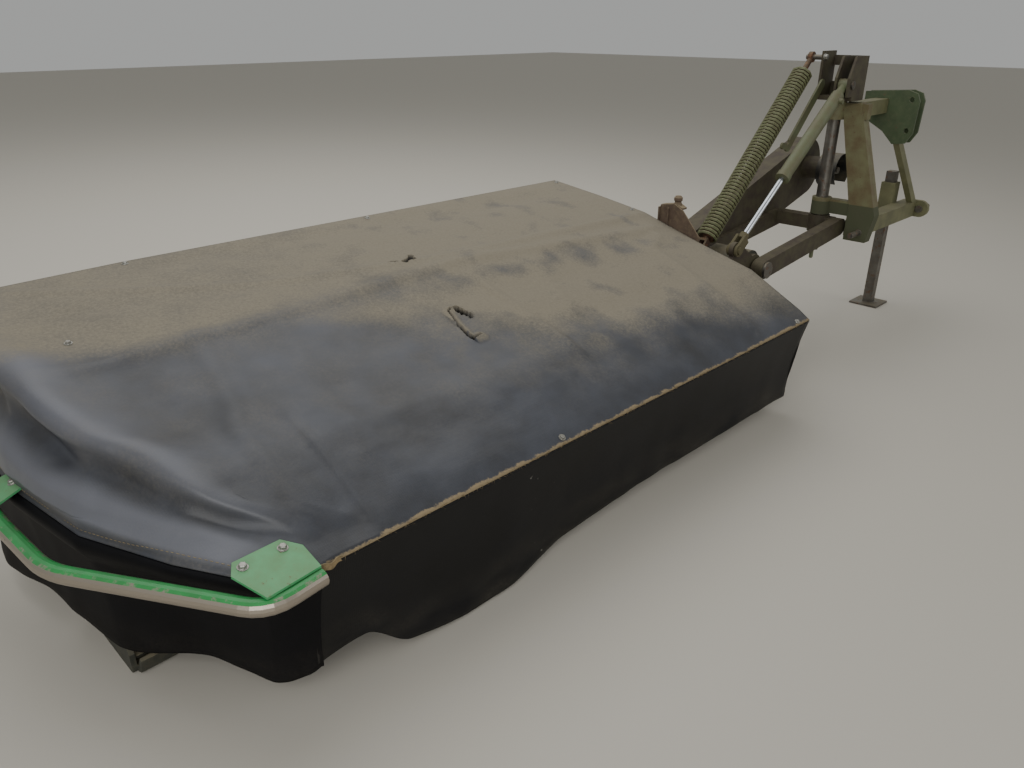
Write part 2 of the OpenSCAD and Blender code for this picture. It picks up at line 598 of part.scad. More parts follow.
module hinge_yoke() color(olive) on_floor() difference() {
  union() {
    plate_y(yoke_front_y, yoke_t) {
      bar2d(hinge_c, lift_low_c, 70);
      bar2d(hinge_c, [plate_x0 - 100, hinge_h - 150], 120);
      polygon([hinge_c + [0, -60], [plate_x0 - 130, 120], [plate_x0, 120], [plate_x0, hinge_h - 60],
        lift_low_c + [24, -24], hinge_c + [0, 50]]);
    }
    plate_y(yoke_rear_y, yoke_t) {
      bar2d(hinge_c, spring_low_c, 56);
      bar2d(hinge_c, [plate_x0 - 100, hinge_h - 150], 120);
      polygon([hinge_c + [0, -60], [plate_x0 - 130, 120], [plate_x0, 120], [plate_x0, hinge_h - 60],
        spring_low_c + [10, -24], hinge_c + [0, 50]]);
    }
  }
  rod_y(yoke_rear_y - 2 * yoke_t, yoke_front_y + 1, hinge_x, hinge_h, hinge_d + 2 * run_gap);
  rod_y(yoke_front_y - yoke_t - 1, yoke_front_y + 1, lift_low_c[0], lift_low_c[1], lift_pin_d);
  rod_y(yoke_rear_y - yoke_t - 1, yoke_rear_y + 1, spring_low_c[0], spring_low_c[1], anchor_d);
}

module yoke_pins() color(steel) on_floor() {
  rod_y(lift_y - yoke_t / 2 - 1, lift_y + yoke_t / 2 + 1, lift_low_c[0], lift_low_c[1], lift_pin_d);
  rod_y(spring_y - yoke_t / 2 - 18, spring_y + yoke_t / 2 + 18, spring_low_c[0], spring_low_c[1], anchor_d);
}

// Bevel gearbox between the yoke's plates, standing on the bar's inner end
module gearbox() color("#4b4d45") on_floor() difference() {
  union() {
    rod_y(yoke_rear_y + 0.3, yoke_front_y - yoke_t - 0.3, hinge_x, hinge_h, 150);
    plate_y(yoke_front_y - yoke_t - 20, yoke_front_y - yoke_rear_y - yoke_t - 40)
      polygon([hinge_c + [-50, -50], hinge_c + [40, 62], hinge_c + [120, -10], [plate_x0 - 70, hinge_h - 170],
        [plate_x0 - 70, 180], [hinge_x + 90, 180]]);
    translate([plate_x0 - 130, bar_y + 66, bar_top_h + 0.3]) cylinder(h = 260, d = 110);
    translate([plate_x0 - 130, bar_y + 66, bar_top_h + 0.3]) cylinder(h = 24, d = 170);
  }
  rod_y(yoke_rear_y - 1, yoke_front_y, hinge_x, hinge_h, hinge_d + 2 * run_gap);
}

// Plate across the bar's inner end that joins yoke, support beam and cover frame
module inner_end_plate() color(olive) on_floor() plate_x(plate_x0, plate_t) difference() {
  polygon([[-150, 120], [-150, 300], [-200, hinge_h - 50], [support_y - 60, hinge_h - 30],
    [support_y - 60, 340], [-500, 120], [bar_y - bar_w / 2 - 10, bar_top_h + 2], [bar_y + bar_w / 2, bar_top_h + 2]]);
  translate([-330, 215]) circle(d = 120);
}

// A shoe's outline, drawn as depth and height, with its nose turned up
module shoe2d(y_front, y_back, nose_h) polygon([[y_front - 8, nose_h + 6], [y_front, nose_h],
  [y_front - 22, 10], [y_front - 44, 0], [y_back + 20, 0], [y_back, 16], [y_back, bar_low_h],
  [y_front - 52, bar_low_h], [y_front - 32, 26]]);

module inner_shoe() color(steel) on_floor() {
  plate_x(plate_x0 - 215, 330) shoe2d(bar_y + bar_w / 2 + 44, bar_y - bar_w / 2 + 20, 60);
  translate([plate_x0 + plate_t, -165, bar_top_h + 2]) cube([40, 10, 60]);
}

module cutterbar() color("#5b5d58") on_floor() {
  f = bar_y + bar_w / 2;
  b = bar_y - bar_w / 2;
  plate_x(plate_x0 - 215, bar_x1 - plate_x0 + 215) polygon([[f, bar_low_h + 26], [f - 3, bar_low_h + 16],
    [f - 14, bar_low_h + 8], [f - 46, bar_low_h], [b + 30, bar_low_h], [b + 5, bar_low_h + 8], [b, bar_low_h + 25],
    [b + 15, bar_top_h - 8], [b + 60, bar_top_h], [f - 55, bar_top_h], [f - 10, bar_top_h - 16]]);
}

module skid_shoes() color(steel) on_floor() for (i = [1 : disc_count - 2])
  plate_x(disc_x0 + i * disc_pitch - skid_w / 2, skid_w)
    shoe2d(bar_y + bar_w / 2 + 26, bar_y - bar_w / 2 + 30, 40);

module outer_shoe() color(olive) on_floor() {
  plate_x(bar_x1, plate_t) polygon([[bar_y + bar_w / 2 + 4, 60], [bar_y + bar_w / 2 + 4, 6],
    [bar_y + bar_w / 2 - 6, 0], [bar_y - bar_w / 2 - 20, 0], [bar_y - bar_w / 2 - 20, 90],
    [support_y - 50, 150], [support_y - 50, 360], [support_y - 40, 580], [support_y + 50, 580], [-420, 220], [-240, 160]]);
  plate_x(bar_x1 - 150, 150) shoe2d(bar_y + bar_w / 2 + 46, bar_y - bar_w / 2 - 16, 60);
}

module support_beam() color(olive) on_floor() difference() {
  rod_x(plate_x0 + plate_t, bar_x1, support_y, support_h, support_d);
  rod_x(plate_x0 + plate_t + support_wall, bar_x1 - support_wall, support_y, support_h, support_d - 2 * support_wall);
}

// Ribs that follow the sheet from below, three rails along them, and struts from the support beam
rib_drop = cover_t + 0.3;
rib_h = 24;
rib_t = 8;
bar_s = 20;
rail_rows = [[30, 4], [870, 2], [1380, 2]];
// Ribs, as columns [outer face x, 1 for a strut to the support beam]
rib_x = [plate_x0 + plate_t + rib_t, 2600, 3560];
// Columns of the cover's grid that bars follow from the last rib to the shoulder, and on down to the foot
tie_cols = [1, 2, 4, 5, 6];
stay_cols = [1, 2, 3, 4, 5];
function row_at(x) = [for (c = cover_line) [x, c[0], c[1]]];
cover_rows = [row_at(cover_x0), row_at(2600), row_at(rib_x[2]), shoulder, foot, edge];
// A corner of the cover's grid, moved inwards by a distance where the sheet falls away, and down
function grid_pt(i, k, inwards = 0, down = 0) = let (p = cover_rows[i][k])
  [p[0] - (i > 2 ? inwards : 0), depth_y(p[1]), p[2] - down];
module bar(p, q) hull() for (c = [p, q]) translate(c) cube(bar_s, center = true);
module cover_frame() color(olive) on_floor() {
  strut_h = line_h(cover_front - support_y) - rib_drop - bar_s;
  foot_h = support_h + support_d / 2 + 0.1;
  for (x = rib_x) plate_x(x - rib_t, rib_t) {
    line = [for (w = [16, 48, 282, 545, 850, 1130, 1380]) [depth_y(w), line_h(w) - rib_drop]];
    polygon(concat(line, [for (k = [6 : -1 : 0]) line[k] - [0, rib_h]]));
    polygon([[support_y - 20, foot_h], [support_y + 20, foot_h],
      [support_y + 40, strut_h], [support_y - 40, strut_h]]);
  }
  for (r = rail_rows) rod_x(rib_x[0] - rib_t, rib_x[2], depth_y(r[0]),
    line_h(r[0]) - rib_drop - rib_h - rail_d / 2 + r[1], rail_d);
  for (k = tie_cols) bar(grid_pt(2, k, 0, 32) - [rib_t, 0, 0], grid_pt(3, k, 20, 32));
  for (k = [1 : 5]) bar(grid_pt(3, k, 20, 32), grid_pt(3, k + 1, 20, 32));
  for (k = stay_cols) bar(grid_pt(3, k, 20, 32), grid_pt(4, k, 20, 26));
  bar([bar_x1 + plate_t + bar_s / 2, depth_y(835), 560], grid_pt(3, 4, 20, 32));
  rim = [for (i = [0 : 2]) [for (k = stay_cols) let (f = grid_pt(4, k, 8, 14), e = grid_pt(5, k, 8, 14))
    i == 0 ? grid_pt(4, k, 24, 22) : i == 1 ? f : f + 0.3 * (e - f)]];
  skin(rim, [for (row = rim) [for (p = row) p - [0, 0, bracket_t]]]);
}

module cover() color(black) on_floor() {
  skin([for (i = [0 : 5]) [for (k = [0 : 6]) grid_pt(i, k)]],
    [for (i = [0 : 5]) [for (k = [0 : 6]) grid_pt(i, k, cover_t - 1, cover_t)]]);
}

module front_curtain() color(black) on_floor() {
  top = cover_line[0][1] - cover_t - 0.3;
  skin([for (r = front_rows) [[r[0], depth_y(r[1]), top], [r[0], depth_y(r[2]), r[3]]]],
    [for (r = front_rows) [[r[0], depth_y(r[1] + curtain_t), top], [r[0], depth_y(r[2] + curtain_t), r[3]]]]);
}

module inner_curtain() color(black) on_floor() {
  x = cover_x0 + 8;
  skin([for (r = inner_rows) [[x, depth_y(r[0]), line_h(r[0]) - cover_t - 0.3], [x, depth_y(r[1]), r[2]]]],
    [for (r = inner_rows) [[x + curtain_t, depth_y(r[0]), line_h(r[0]) - cover_t - 0.3],
      [x + curtain_t, depth_y(r[1]), r[2]]]]);
}

module outer_curtain() color(black) on_floor() {
  top = concat([[edge[0][0] - 30, depth_y(0), edge[0][2]]], [for (k = [0 : 6]) grid_pt(5, k)]);
  outside = [for (i = [0 : 7]) [top[i] - [0, 0, cover_t + 0.3], [outer_low[i][0], depth_y(outer_low[i][1]), outer_low[i][2]]]];
  skin(outside, [for (i = [0 : 7]) [for (p = outside[i]) p - [curtain_t, i < 5 ? curtain_t : 0, 0]]]);
}

module bumper_tube() color(green) on_floor() level_tube(
  bend_run([for (p = bumper_run) [p[0], depth_y(p[1]), bumper_h]], bumper_bend), bumper_d / 2, bumper_d / 2 - bumper_wall);

// Plates that lie on the fabric and carry the bumper tube, as corners [x, w, height of the underside]
bumper_top = bumper_h + bumper_d / 2 + 0.3;
function front_h(x, w) = bumper_top + 0.205 * (w + 22 + (x - 3744) * 0.127);
front_plan = [[3744, -19], [3742, 56], [3774, 98], [3892, 92], [3912, 58], [3882, -34]];
function outer_h(x) = bumper_top + 0.318 * (4188 - x);
outer_plan = [[4188, 740], [4106, 752], [4096.3, 800], [4106, 850], [4188, 866]];
module bumper_brackets() color(green) on_floor() {
  slab([for (p = front_plan) [p[0], depth_y(p[1]), front_h(p[0], p[1])]], bracket_t);
  slab([for (p = outer_plan) [p[0], depth_y(p[1]), outer_h(p[0])]], bracket_t);
}

module swath_board() color(olive) on_floor() translate([bar_x1 + plate_t - 4, support_y - 50, 60])
  rotate([0, 0, -112]) cube([420, 12, 300]);

// Two ears and a cross plate on the inner rib
module yoke_stop() color(rust) on_floor() {
  for (y = [-444, -492]) plate_y(y, 8) polygon([[plate_x0 - 62, 640], [plate_x0 + plate_t, 640],
    [plate_x0 + plate_t, 690], [cover_x0 - 6, 690], [cover_x0 - 6, 770], [plate_x0 - 62, 770]]);
  plate_x(cover_x0 - 14, 8) translate([-492, 640]) square([40, 50]);
}

// Discs, each an oval plate on its hub with two knives; the inner and outer ones carry a swath cone

module disc(i) {
  hub_h = bar_top_h + 0.5;
  plate_h = bar_top_h + 26;
  color(i % 2 == 0 ? "#6f7376" : "#7d8184") on_floor()
    translate([disc_x0 + i * disc_pitch, bar_y, 0]) rotate(i % 2 == 0 ? 0 : 90) {
      rotate_extrude() polygon([[0, hub_h], [55, hub_h], [55, plate_h], [disc_short_r, plate_h],
        [disc_short_r, plate_h + 8], [90, plate_h + 20], [40, plate_h + 34], [0, plate_h + 34]]);
      translate([0, 0, plate_h]) linear_extrude(8)
        bar2d([50 - disc_long_r, 0], [disc_long_r - 50, 0], 100);
      for (s = [0, 180]) rotate(s) {
        translate([disc_long_r - 46, 0, plate_h - 10 - knife_t]) cylinder(h = 10 + knife_t, d = 26);
        translate([disc_long_r - 66, -24, plate_h - 10 - knife_t]) cube([knife_tip_r - disc_long_r + 66, 48, knife_t]);
      }
      if (i == 0 || i == disc_count - 1) rotate_extrude()
        polygon([[0, plate_h + 30], [118, plate_h + 12], [84, plate_h + 190], [70, plate_h + 200], [0, plate_h + 200]]);
    }
}

cross_beam();
right_pillar();
top_beam();
left_leg();
top_link_bracket();
hitch_pins();
parking_stand();
kingpin();
mast_head();
mast_pins();
transport_lock();
carrier_head();
carrier_arm();
carrier_rear_arm();
hinge_pin();
belt_guard();
belt_guard_lid();
pto_shield();
pto_shaft();
lift_barrel();
lift_rod();
float_spring();
spring_ends();
hinge_yoke();
yoke_pins();
gearbox();
inner_end_plate();
inner_shoe();
cutterbar();
skid_shoes();
outer_shoe();
support_beam();
cover_frame();
cover();
front_curtain();
inner_curtain();
outer_curtain();
bumper_tube();
bumper_brackets();
swath_board();
yoke_stop();
disc(0);  // disc_1
disc(1);  // disc_2
disc(2);  // disc_3
disc(3);  // disc_4
disc(4);  // disc_5
disc(5);  // disc_6
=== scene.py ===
"""Looks of a rear-mounted disc mower with a fabric cover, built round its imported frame.

Lengths are in metres in the frame's own axes: X from the hitch's centre line to the outer end of
the bar, Y forwards and Z up, from the centre of the upper top link hole.
"""

import logging
import math
import random
from dataclasses import dataclass, field
from enum import Enum

import bmesh
import bpy
from mathutils import Matrix, Vector, noise
from mathutils.bvhtree import BVHTree

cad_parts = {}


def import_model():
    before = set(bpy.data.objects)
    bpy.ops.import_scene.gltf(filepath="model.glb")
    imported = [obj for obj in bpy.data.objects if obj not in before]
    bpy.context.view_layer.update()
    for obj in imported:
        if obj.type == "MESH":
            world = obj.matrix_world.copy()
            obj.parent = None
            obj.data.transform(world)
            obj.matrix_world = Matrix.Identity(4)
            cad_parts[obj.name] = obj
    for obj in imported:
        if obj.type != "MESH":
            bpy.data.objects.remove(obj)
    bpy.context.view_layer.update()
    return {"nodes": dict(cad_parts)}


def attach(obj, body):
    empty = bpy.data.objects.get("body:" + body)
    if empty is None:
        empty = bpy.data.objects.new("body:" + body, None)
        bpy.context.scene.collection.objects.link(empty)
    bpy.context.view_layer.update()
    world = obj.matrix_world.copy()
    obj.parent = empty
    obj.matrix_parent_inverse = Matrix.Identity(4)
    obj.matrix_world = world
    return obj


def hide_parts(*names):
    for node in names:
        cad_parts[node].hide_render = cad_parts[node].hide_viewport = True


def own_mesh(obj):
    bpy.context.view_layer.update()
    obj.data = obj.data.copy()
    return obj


log = logging.getLogger("disc_mower")

FLOOR_Z = -1.170
COVER_FRONT_Y = 0.280
UP = Vector((0, 0, 1))
BLEND = {"data_type": "RGBA"}
Point = tuple[float, float, float]
Line = tuple[tuple[float, float], ...]
Settings = dict[str | int, object]


def linear(code: str) -> tuple[float, float, float, float]:
    """Turn an sRGB hex colour into linear values.

    Args:
        code: The colour as #rrggbb.

    Returns:
        Linear red, green, blue and an alpha of 1.
    """
    parts = [int(code[i : i + 2], 16) / 255 for i in (1, 3, 5)]
    straight = [c / 12.92 if c <= 0.04045 else ((c + 0.055) / 1.055) ** 2.4 for c in parts]
    return (straight[0], straight[1], straight[2], 1.0)


def per_mm(size: float) -> float:
    """Return the texture scale that makes one pattern cell this many millimetres wide."""
    return 1000.0 / size


def place(x: float, w: float, h: float) -> Vector:
    """Turn a place on the machine into the frame's axes.

    Args:
        x: Distance from the hitch's centre line.
        w: Distance behind the cover's front edge.
        h: Height above the floor.

    Returns:
        The point in the frame's axes.
    """
    return Vector((x, COVER_FRONT_Y - w, FLOOR_Z + h))


def smooth(low: float, high: float, value: float) -> float:
    """Return how far value has gone from low to high, eased at both ends."""
    t = min(1.0, max(0.0, (value - low) / (high - low)))
    return t * t * (3 - 2 * t)


def along(table: list[tuple[float, float]], value: float) -> float:
    """Read a table of pairs at a value, straight between its rows.

    Args:
        table: Rows of position and result, in rising order of position.
        value: Where to read it.

    Returns:
        The result there, held at the ends.
    """
    if value <= table[0][0]:
        return table[0][1]
    for (a, fa), (b, fb) in zip(table, table[1:]):
        if value <= b:
            return fa + (fb - fa) * (value - a) / (b - a)
    return table[-1][1]


def add_node(tree: bpy.types.NodeTree, kind: str, out: str | int, settings: Settings | None = None,
             links: dict[str | int, bpy.types.NodeSocket] | None = None) -> bpy.types.NodeSocket:
    """Add one shader node, set it and link it.

    Args:
        tree: The material's node tree.
        kind: The node's type without its ShaderNode prefix.
        out: The name or number of the output socket that is wanted.
        settings: Socket names or numbers, or properties, with their values.
        links: Input sockets with the output sockets that feed them.

    Returns:
        The node's output socket.
    """
    node = tree.nodes.new("ShaderNode" + kind)
    settings = settings or {}
    properties = [name for name in settings if isinstance(name, str) and hasattr(node, name)]
    for name in properties:
        setattr(node, name, settings[name])
    for name in settings:
        if name not in properties:
            node.inputs[name].default_value = settings[name]
    for name, source in (links or {}).items():
        tree.links.new(source, node.inputs[name])
    return node.outputs[out]


def stand(name: str, data: bpy.types.ID | None) -> bpy.types.Object:
    """Link a new object that stands at the frame's origin.

    Args:
        name: Its name.
        data: Its mesh, light or camera.

    Returns:
        The object.
    """
    made = bpy.data.objects.new(name, data)
    bpy.context.scene.collection.objects.link(made)
    return made


class Slot(Enum):
    """Material slot names for the added pieces; nothing here gives a piece one of them."""

    OLIVE = "olive_paint"
    WORN = "worn_steel"
    SPRING = "spring_steel"
    RUST = "rusty_plate"
    FABRIC = "cover_fabric"


@dataclass(frozen=True)
class Weathered:
    """A surface of one base colour that dirt, rust and dust have settled on, with painted shade in its gaps where a gap
    colour is given.
    """

    name: str
    base: str
    patch: str
    rust: str = "#5a3a26"
    dust: str = "#8d8266"
    metallic: float = 0.0
    roughness: float = 0.5
    rough_dirt: float = 0.85
    patch_mm: float = 70.0
    grain_mm: float = 2.5
    rust_share: float = 0.2
    dust_share: float = 0.5
    bump_mm: float = 0.25
    edge_mm: float = 1.2
    bare: str = ""
    bare_below: float = 0.0
    bare_metallic: float = 0.8
    gaps: str = ""
    gap_mm: float = 12.0
    coat: str = ""
    coat_past: tuple[float, float, float, float] = (0.0, 0.0, 0.0, 0.0)

    def material(self) -> bpy.types.Material:
        """Build the finish once and return it each time after.

        Returns:
            The material.
        """
        if self.name in bpy.data.materials:
            return bpy.data.materials[self.name]
        made = bpy.data.materials.new(self.name)
        made.use_nodes = True
        tree = made.node_tree
        shader = tree.nodes["Principled BSDF"]
        on_piece = {"Vector": add_node(tree, "TexCoord", "Object")}
        patches = add_node(tree, "TexNoise", "Fac", {"Scale": per_mm(self.patch_mm), "Detail": 6.0, "Roughness": 0.62},
                           on_piece)
        grain = add_node(tree, "TexNoise", "Fac", {"Scale": per_mm(self.grain_mm), "Detail": 3.0}, on_piece)
        spots = add_node(tree, "TexNoise", "Fac",
                         {"Scale": per_mm(self.patch_mm * 0.35), "Detail": 8.0, "Roughness": 0.7}, on_piece)
        upward = add_node(tree, "SeparateXYZ", "Z", {}, {0: add_node(tree, "NewGeometry", "Normal")})

        tone = add_node(tree, "MapRange", 0, {"From Min": 0.35, "From Max": 0.65}, {"Value": patches})
        colour = add_node(tree, "Mix", 2, BLEND | {6: linear(self.base), 7: linear(self.patch)}, {0: tone})
        if self.bare:
            chafed = add_node(tree, "Math", 0, {"operation": "MULTIPLY_ADD", 1: 0.8}, {0: spots, 2: upward})
            scraped = add_node(tree, "MapRange", 0,
                               {"From Min": self.bare_below + 0.50, "From Max": self.bare_below + 0.38},
                               {"Value": chafed})
            colour = add_node(tree, "Mix", 2, BLEND | {7: linear(self.bare)}, {0: scraped, 6: colour})
            metal = add_node(tree, "Math", 0, {"operation": "MULTIPLY", 1: self.bare_metallic}, {0: scraped})
            tree.links.new(metal, shader.inputs["Metallic"])
        # painted shade: ambient occlusion darkens close gaps towards the gap colour, a dark red-brown that also stands
        # for dirt in them
        if self.gaps:
            open_sky = add_node(tree, "AmbientOcclusion", "AO", {"samples": 6, "Distance": self.gap_mm / 1000})
            closed = add_node(tree, "MapRange", 0, {"From Min": 0.8, "From Max": 0.45}, {"Value": open_sky})
            colour = add_node(tree, "Mix", 2, BLEND | {7: linear(self.gaps)}, {0: closed, 6: colour})

        rust_at = 0.72 - 0.3 * self.rust_share
        rusty = add_node(tree, "MapRange", 0, {"From Min": rust_at, "From Max": rust_at + 0.07, "To Max": 0.92},
                         {"Value": spots})
        colour = add_node(tree, "Mix", 2, BLEND | {7: linear(self.rust)}, {0: rusty, 6: colour})

        lying = add_node(tree, "MapRange", 0, {"From Min": 0.1, "From Max": 0.95, "To Max": self.dust_share},
                         {"Value": upward})
        uneven = add_node(tree, "MapRange", 0, {"From Min": 0.3, "From Max": 0.62, "To Min": 0.45, "To Max": 1.15},
                          {"Value": patches})
        haze = add_node(tree, "MapRange", 0, {"From Min": 0.45, "From Max": 0.75, "To Max": self.dust_share * 0.45},
                        {"Value": spots})
        dusty = add_node(tree, "Math", 0, {"operation": "MULTIPLY_ADD", "use_clamp": True},
                         {0: lying, 1: uneven, 2: haze})
        colour = add_node(tree, "Mix", 2, BLEND | {7: linear(self.dust)}, {0: dusty, 6: colour})
        dirt = add_node(tree, "Math", 0, {"operation": "MAXIMUM", "use_clamp": True}, {0: rusty, 1: dusty})

        if self.coat:
            reach = add_node(tree, "VectorMath", "Value", {"operation": "DOT_PRODUCT", 1: self.coat_past[:3]},
                             {0: on_piece["Vector"]})
            coated = add_node(tree, "Math", 0, {"operation": "GREATER_THAN", 1: self.coat_past[3]}, {0: reach})
            coats = add_node(tree, "Mix", 2, BLEND | {6: linear(self.coat), 7: linear(self.dust)}, {0: patches})
            colour = add_node(tree, "Mix", 2, BLEND, {0: coated, 6: colour, 7: coats})
            dirt = add_node(tree, "Math", 0, {"operation": "MAXIMUM"}, {0: dirt, 1: coated})

        rough = add_node(tree, "MapRange", 0, {"To Min": self.roughness, "To Max": self.rough_dirt}, {"Value": dirt})
        tree.links.new(colour, shader.inputs["Base Color"])
        tree.links.new(rough, shader.inputs["Roughness"])
        if self.metallic:
            clean = add_node(tree, "MapRange", 0, {"To Min": self.metallic, "To Max": 0.0}, {"Value": dirt})
            tree.links.new(clean, shader.inputs["Metallic"])
        rounded = add_node(tree, "Bevel", "Normal", {"samples": 4, "Radius": self.edge_mm / 1000})
        bump = add_node(tree, "Bump", "Normal", {"Strength": 0.5, "Distance": self.bump_mm / 1000},
                        {"Height": grain, "Normal": rounded})
        tree.links.new(bump, shader.inputs["Normal"])
        return made


# Factory spray enamel gone dull with field dust: semi-matt, chalky, rusty where it was rubbed through
OLIVE_ENAMEL = Weathered("dusty olive enamel", "#6d6c4d", "#5a5a3f", rust_share=0.26, dust_share=0.24, roughness=0.6,
                         dust="#7b6f55")
# The same enamel on the pillar, touched up with a greener brush low down
PILLAR_ENAMEL = Weathered("touched-up olive enamel", "#6d6c4d", "#5f5238", rust="#5e3a2a", dust="#4b4b38",
                          rust_share=0.34, dust_share=0.24, roughness=0.6, coat="#454b33",
                          coat_past=(0.0, 0.0, -1.0, 0.478))
# The same enamel where hands and rain keep it clean, faded to a paler green
RUBBED_ENAMEL = Weathered("faded olive enamel", "#5c6347", "#56533a", rust_share=0.24, dust_share=0.2, roughness=0.55,
                          dust="#7b6f55")
# The same enamel low on the hitch, brown with grease and soil
GRIMY_ENAMEL = Weathered("grimy olive enamel", "#372d24", "#47432f", rust="#3d2a20", dust="#74674f", rust_share=0.3,
                         dust_share=0.2, roughness=0.7, patch_mm=55.0)
# Agricultural green enamel, glossier because hands and brush keep it clean
GREEN_ENAMEL = Weathered("dusted green enamel", "#4d9c66", "#3f8f5a", rust_share=0.32, dust_share=0.22, roughness=0.42,
                         patch_mm=45.0)
# The same enamel on the tube, chafed to bare steel along its outside and underside
CHAFED_ENAMEL = Weathered("chafed green enamel", "#1f8a45", "#1a763a", rust_share=0.12, dust_share=0.05, roughness=0.36,
                          bare="#a39a8d", bare_below=0.72)
# Sprayed top link plates, the same dull green as the hitch but fresher
PLATE_ENAMEL = Weathered("faded green enamel", "#47553a", "#3d4a32", rust_share=0.3, dust_share=0.3, roughness=0.5)
# Steel scoured by soil and grass: grey, brushed by wear, rusting between uses
SCOURED_STEEL = Weathered("scoured steel", "#77746e", "#5b5751", metallic=0.8, rust_share=0.55, dust_share=0.3,
                          roughness=0.42)
# Grey iron casting with a sand-cast skin under old oil
CAST_IRON = Weathered("sand-cast iron", "#45463e", "#33342e", metallic=0.3, rust_share=0.3, dust_share=0.5,
                      roughness=0.6, bump_mm=0.6, grain_mm=3.5)
# Hard chrome on a ground rod: near mirror, with paint and dust on its forked end
HARD_CHROME = Weathered("hard chrome", "#c9cdd2", "#bfc4ca", dust="#5a5039", metallic=1.0, rust_share=-0.4,
                        dust_share=0.1, roughness=0.16, bump_mm=0.02, coat="#565338",
                        coat_past=(0.79625, 0.0, -0.60497, 1.298))
# Wound spring wire, olive paint outside, painted shade between the turns in a dark red-brown that also stands for dirt
# packed there
SPRING_WIRE = Weathered("painted spring wire", "#6c7250", "#5c5d40", rust_share=0.2, dust_share=0.3, roughness=0.55,
                        patch_mm=40.0, gaps="#4f2a1f")
# Rusty plate with dust caked on what looks upwards
DUSTY_PLATE = Weathered("dusty rusted plate", "#5c4c3e", "#4a3c31", rust="#4f3628", dust="#85775d", rust_share=0.35,
                        dust_share=0.9, roughness=0.85, bump_mm=0.6)
# Plate whose paint has gone: dry red-brown scale
RUSTY_PLATE = Weathered("rusted plate", "#4f3a2d", "#3d2c22", rust="#6b432b", rust_share=0.7, dust_share=0.4,
                        roughness=0.85, bump_mm=0.6)
# Moulded polyethylene, faintly chalked
BLACK_PLASTIC = Weathered("moulded polyethylene", "#1b1b1c", "#242424", rust="#3a352c", rust_share=-0.1,
                          dust_share=0.45, roughness=0.45)
# Zinc-plated bolt, dulled to grey
ZINC_BOLT = Weathered("zinc-plated steel", "#a9a9a4", "#8c8b86", metallic=0.85, rust_share=0.15, dust_share=0.2,
                      roughness=0.35)
# Waxed polyester sewing thread, tan with dust
SEWING_THREAD = Weathered("waxed sewing thread", "#97845c", "#7c6c4c", rust="#4e4436", rust_share=0.1, dust_share=0.4,
                          roughness=0.8, patch_mm=15.0, bump_mm=0.1)
# Bare polyester fibre where the rubber coat has worn off its weave
BARE_FIBRE = Weathered("bare polyester fibre", "#8d7a58", "#6f6045", rust="#473c2e", rust_share=0.2, dust_share=0.5,
                       roughness=0.95, patch_mm=12.0, bump_mm=0.3)


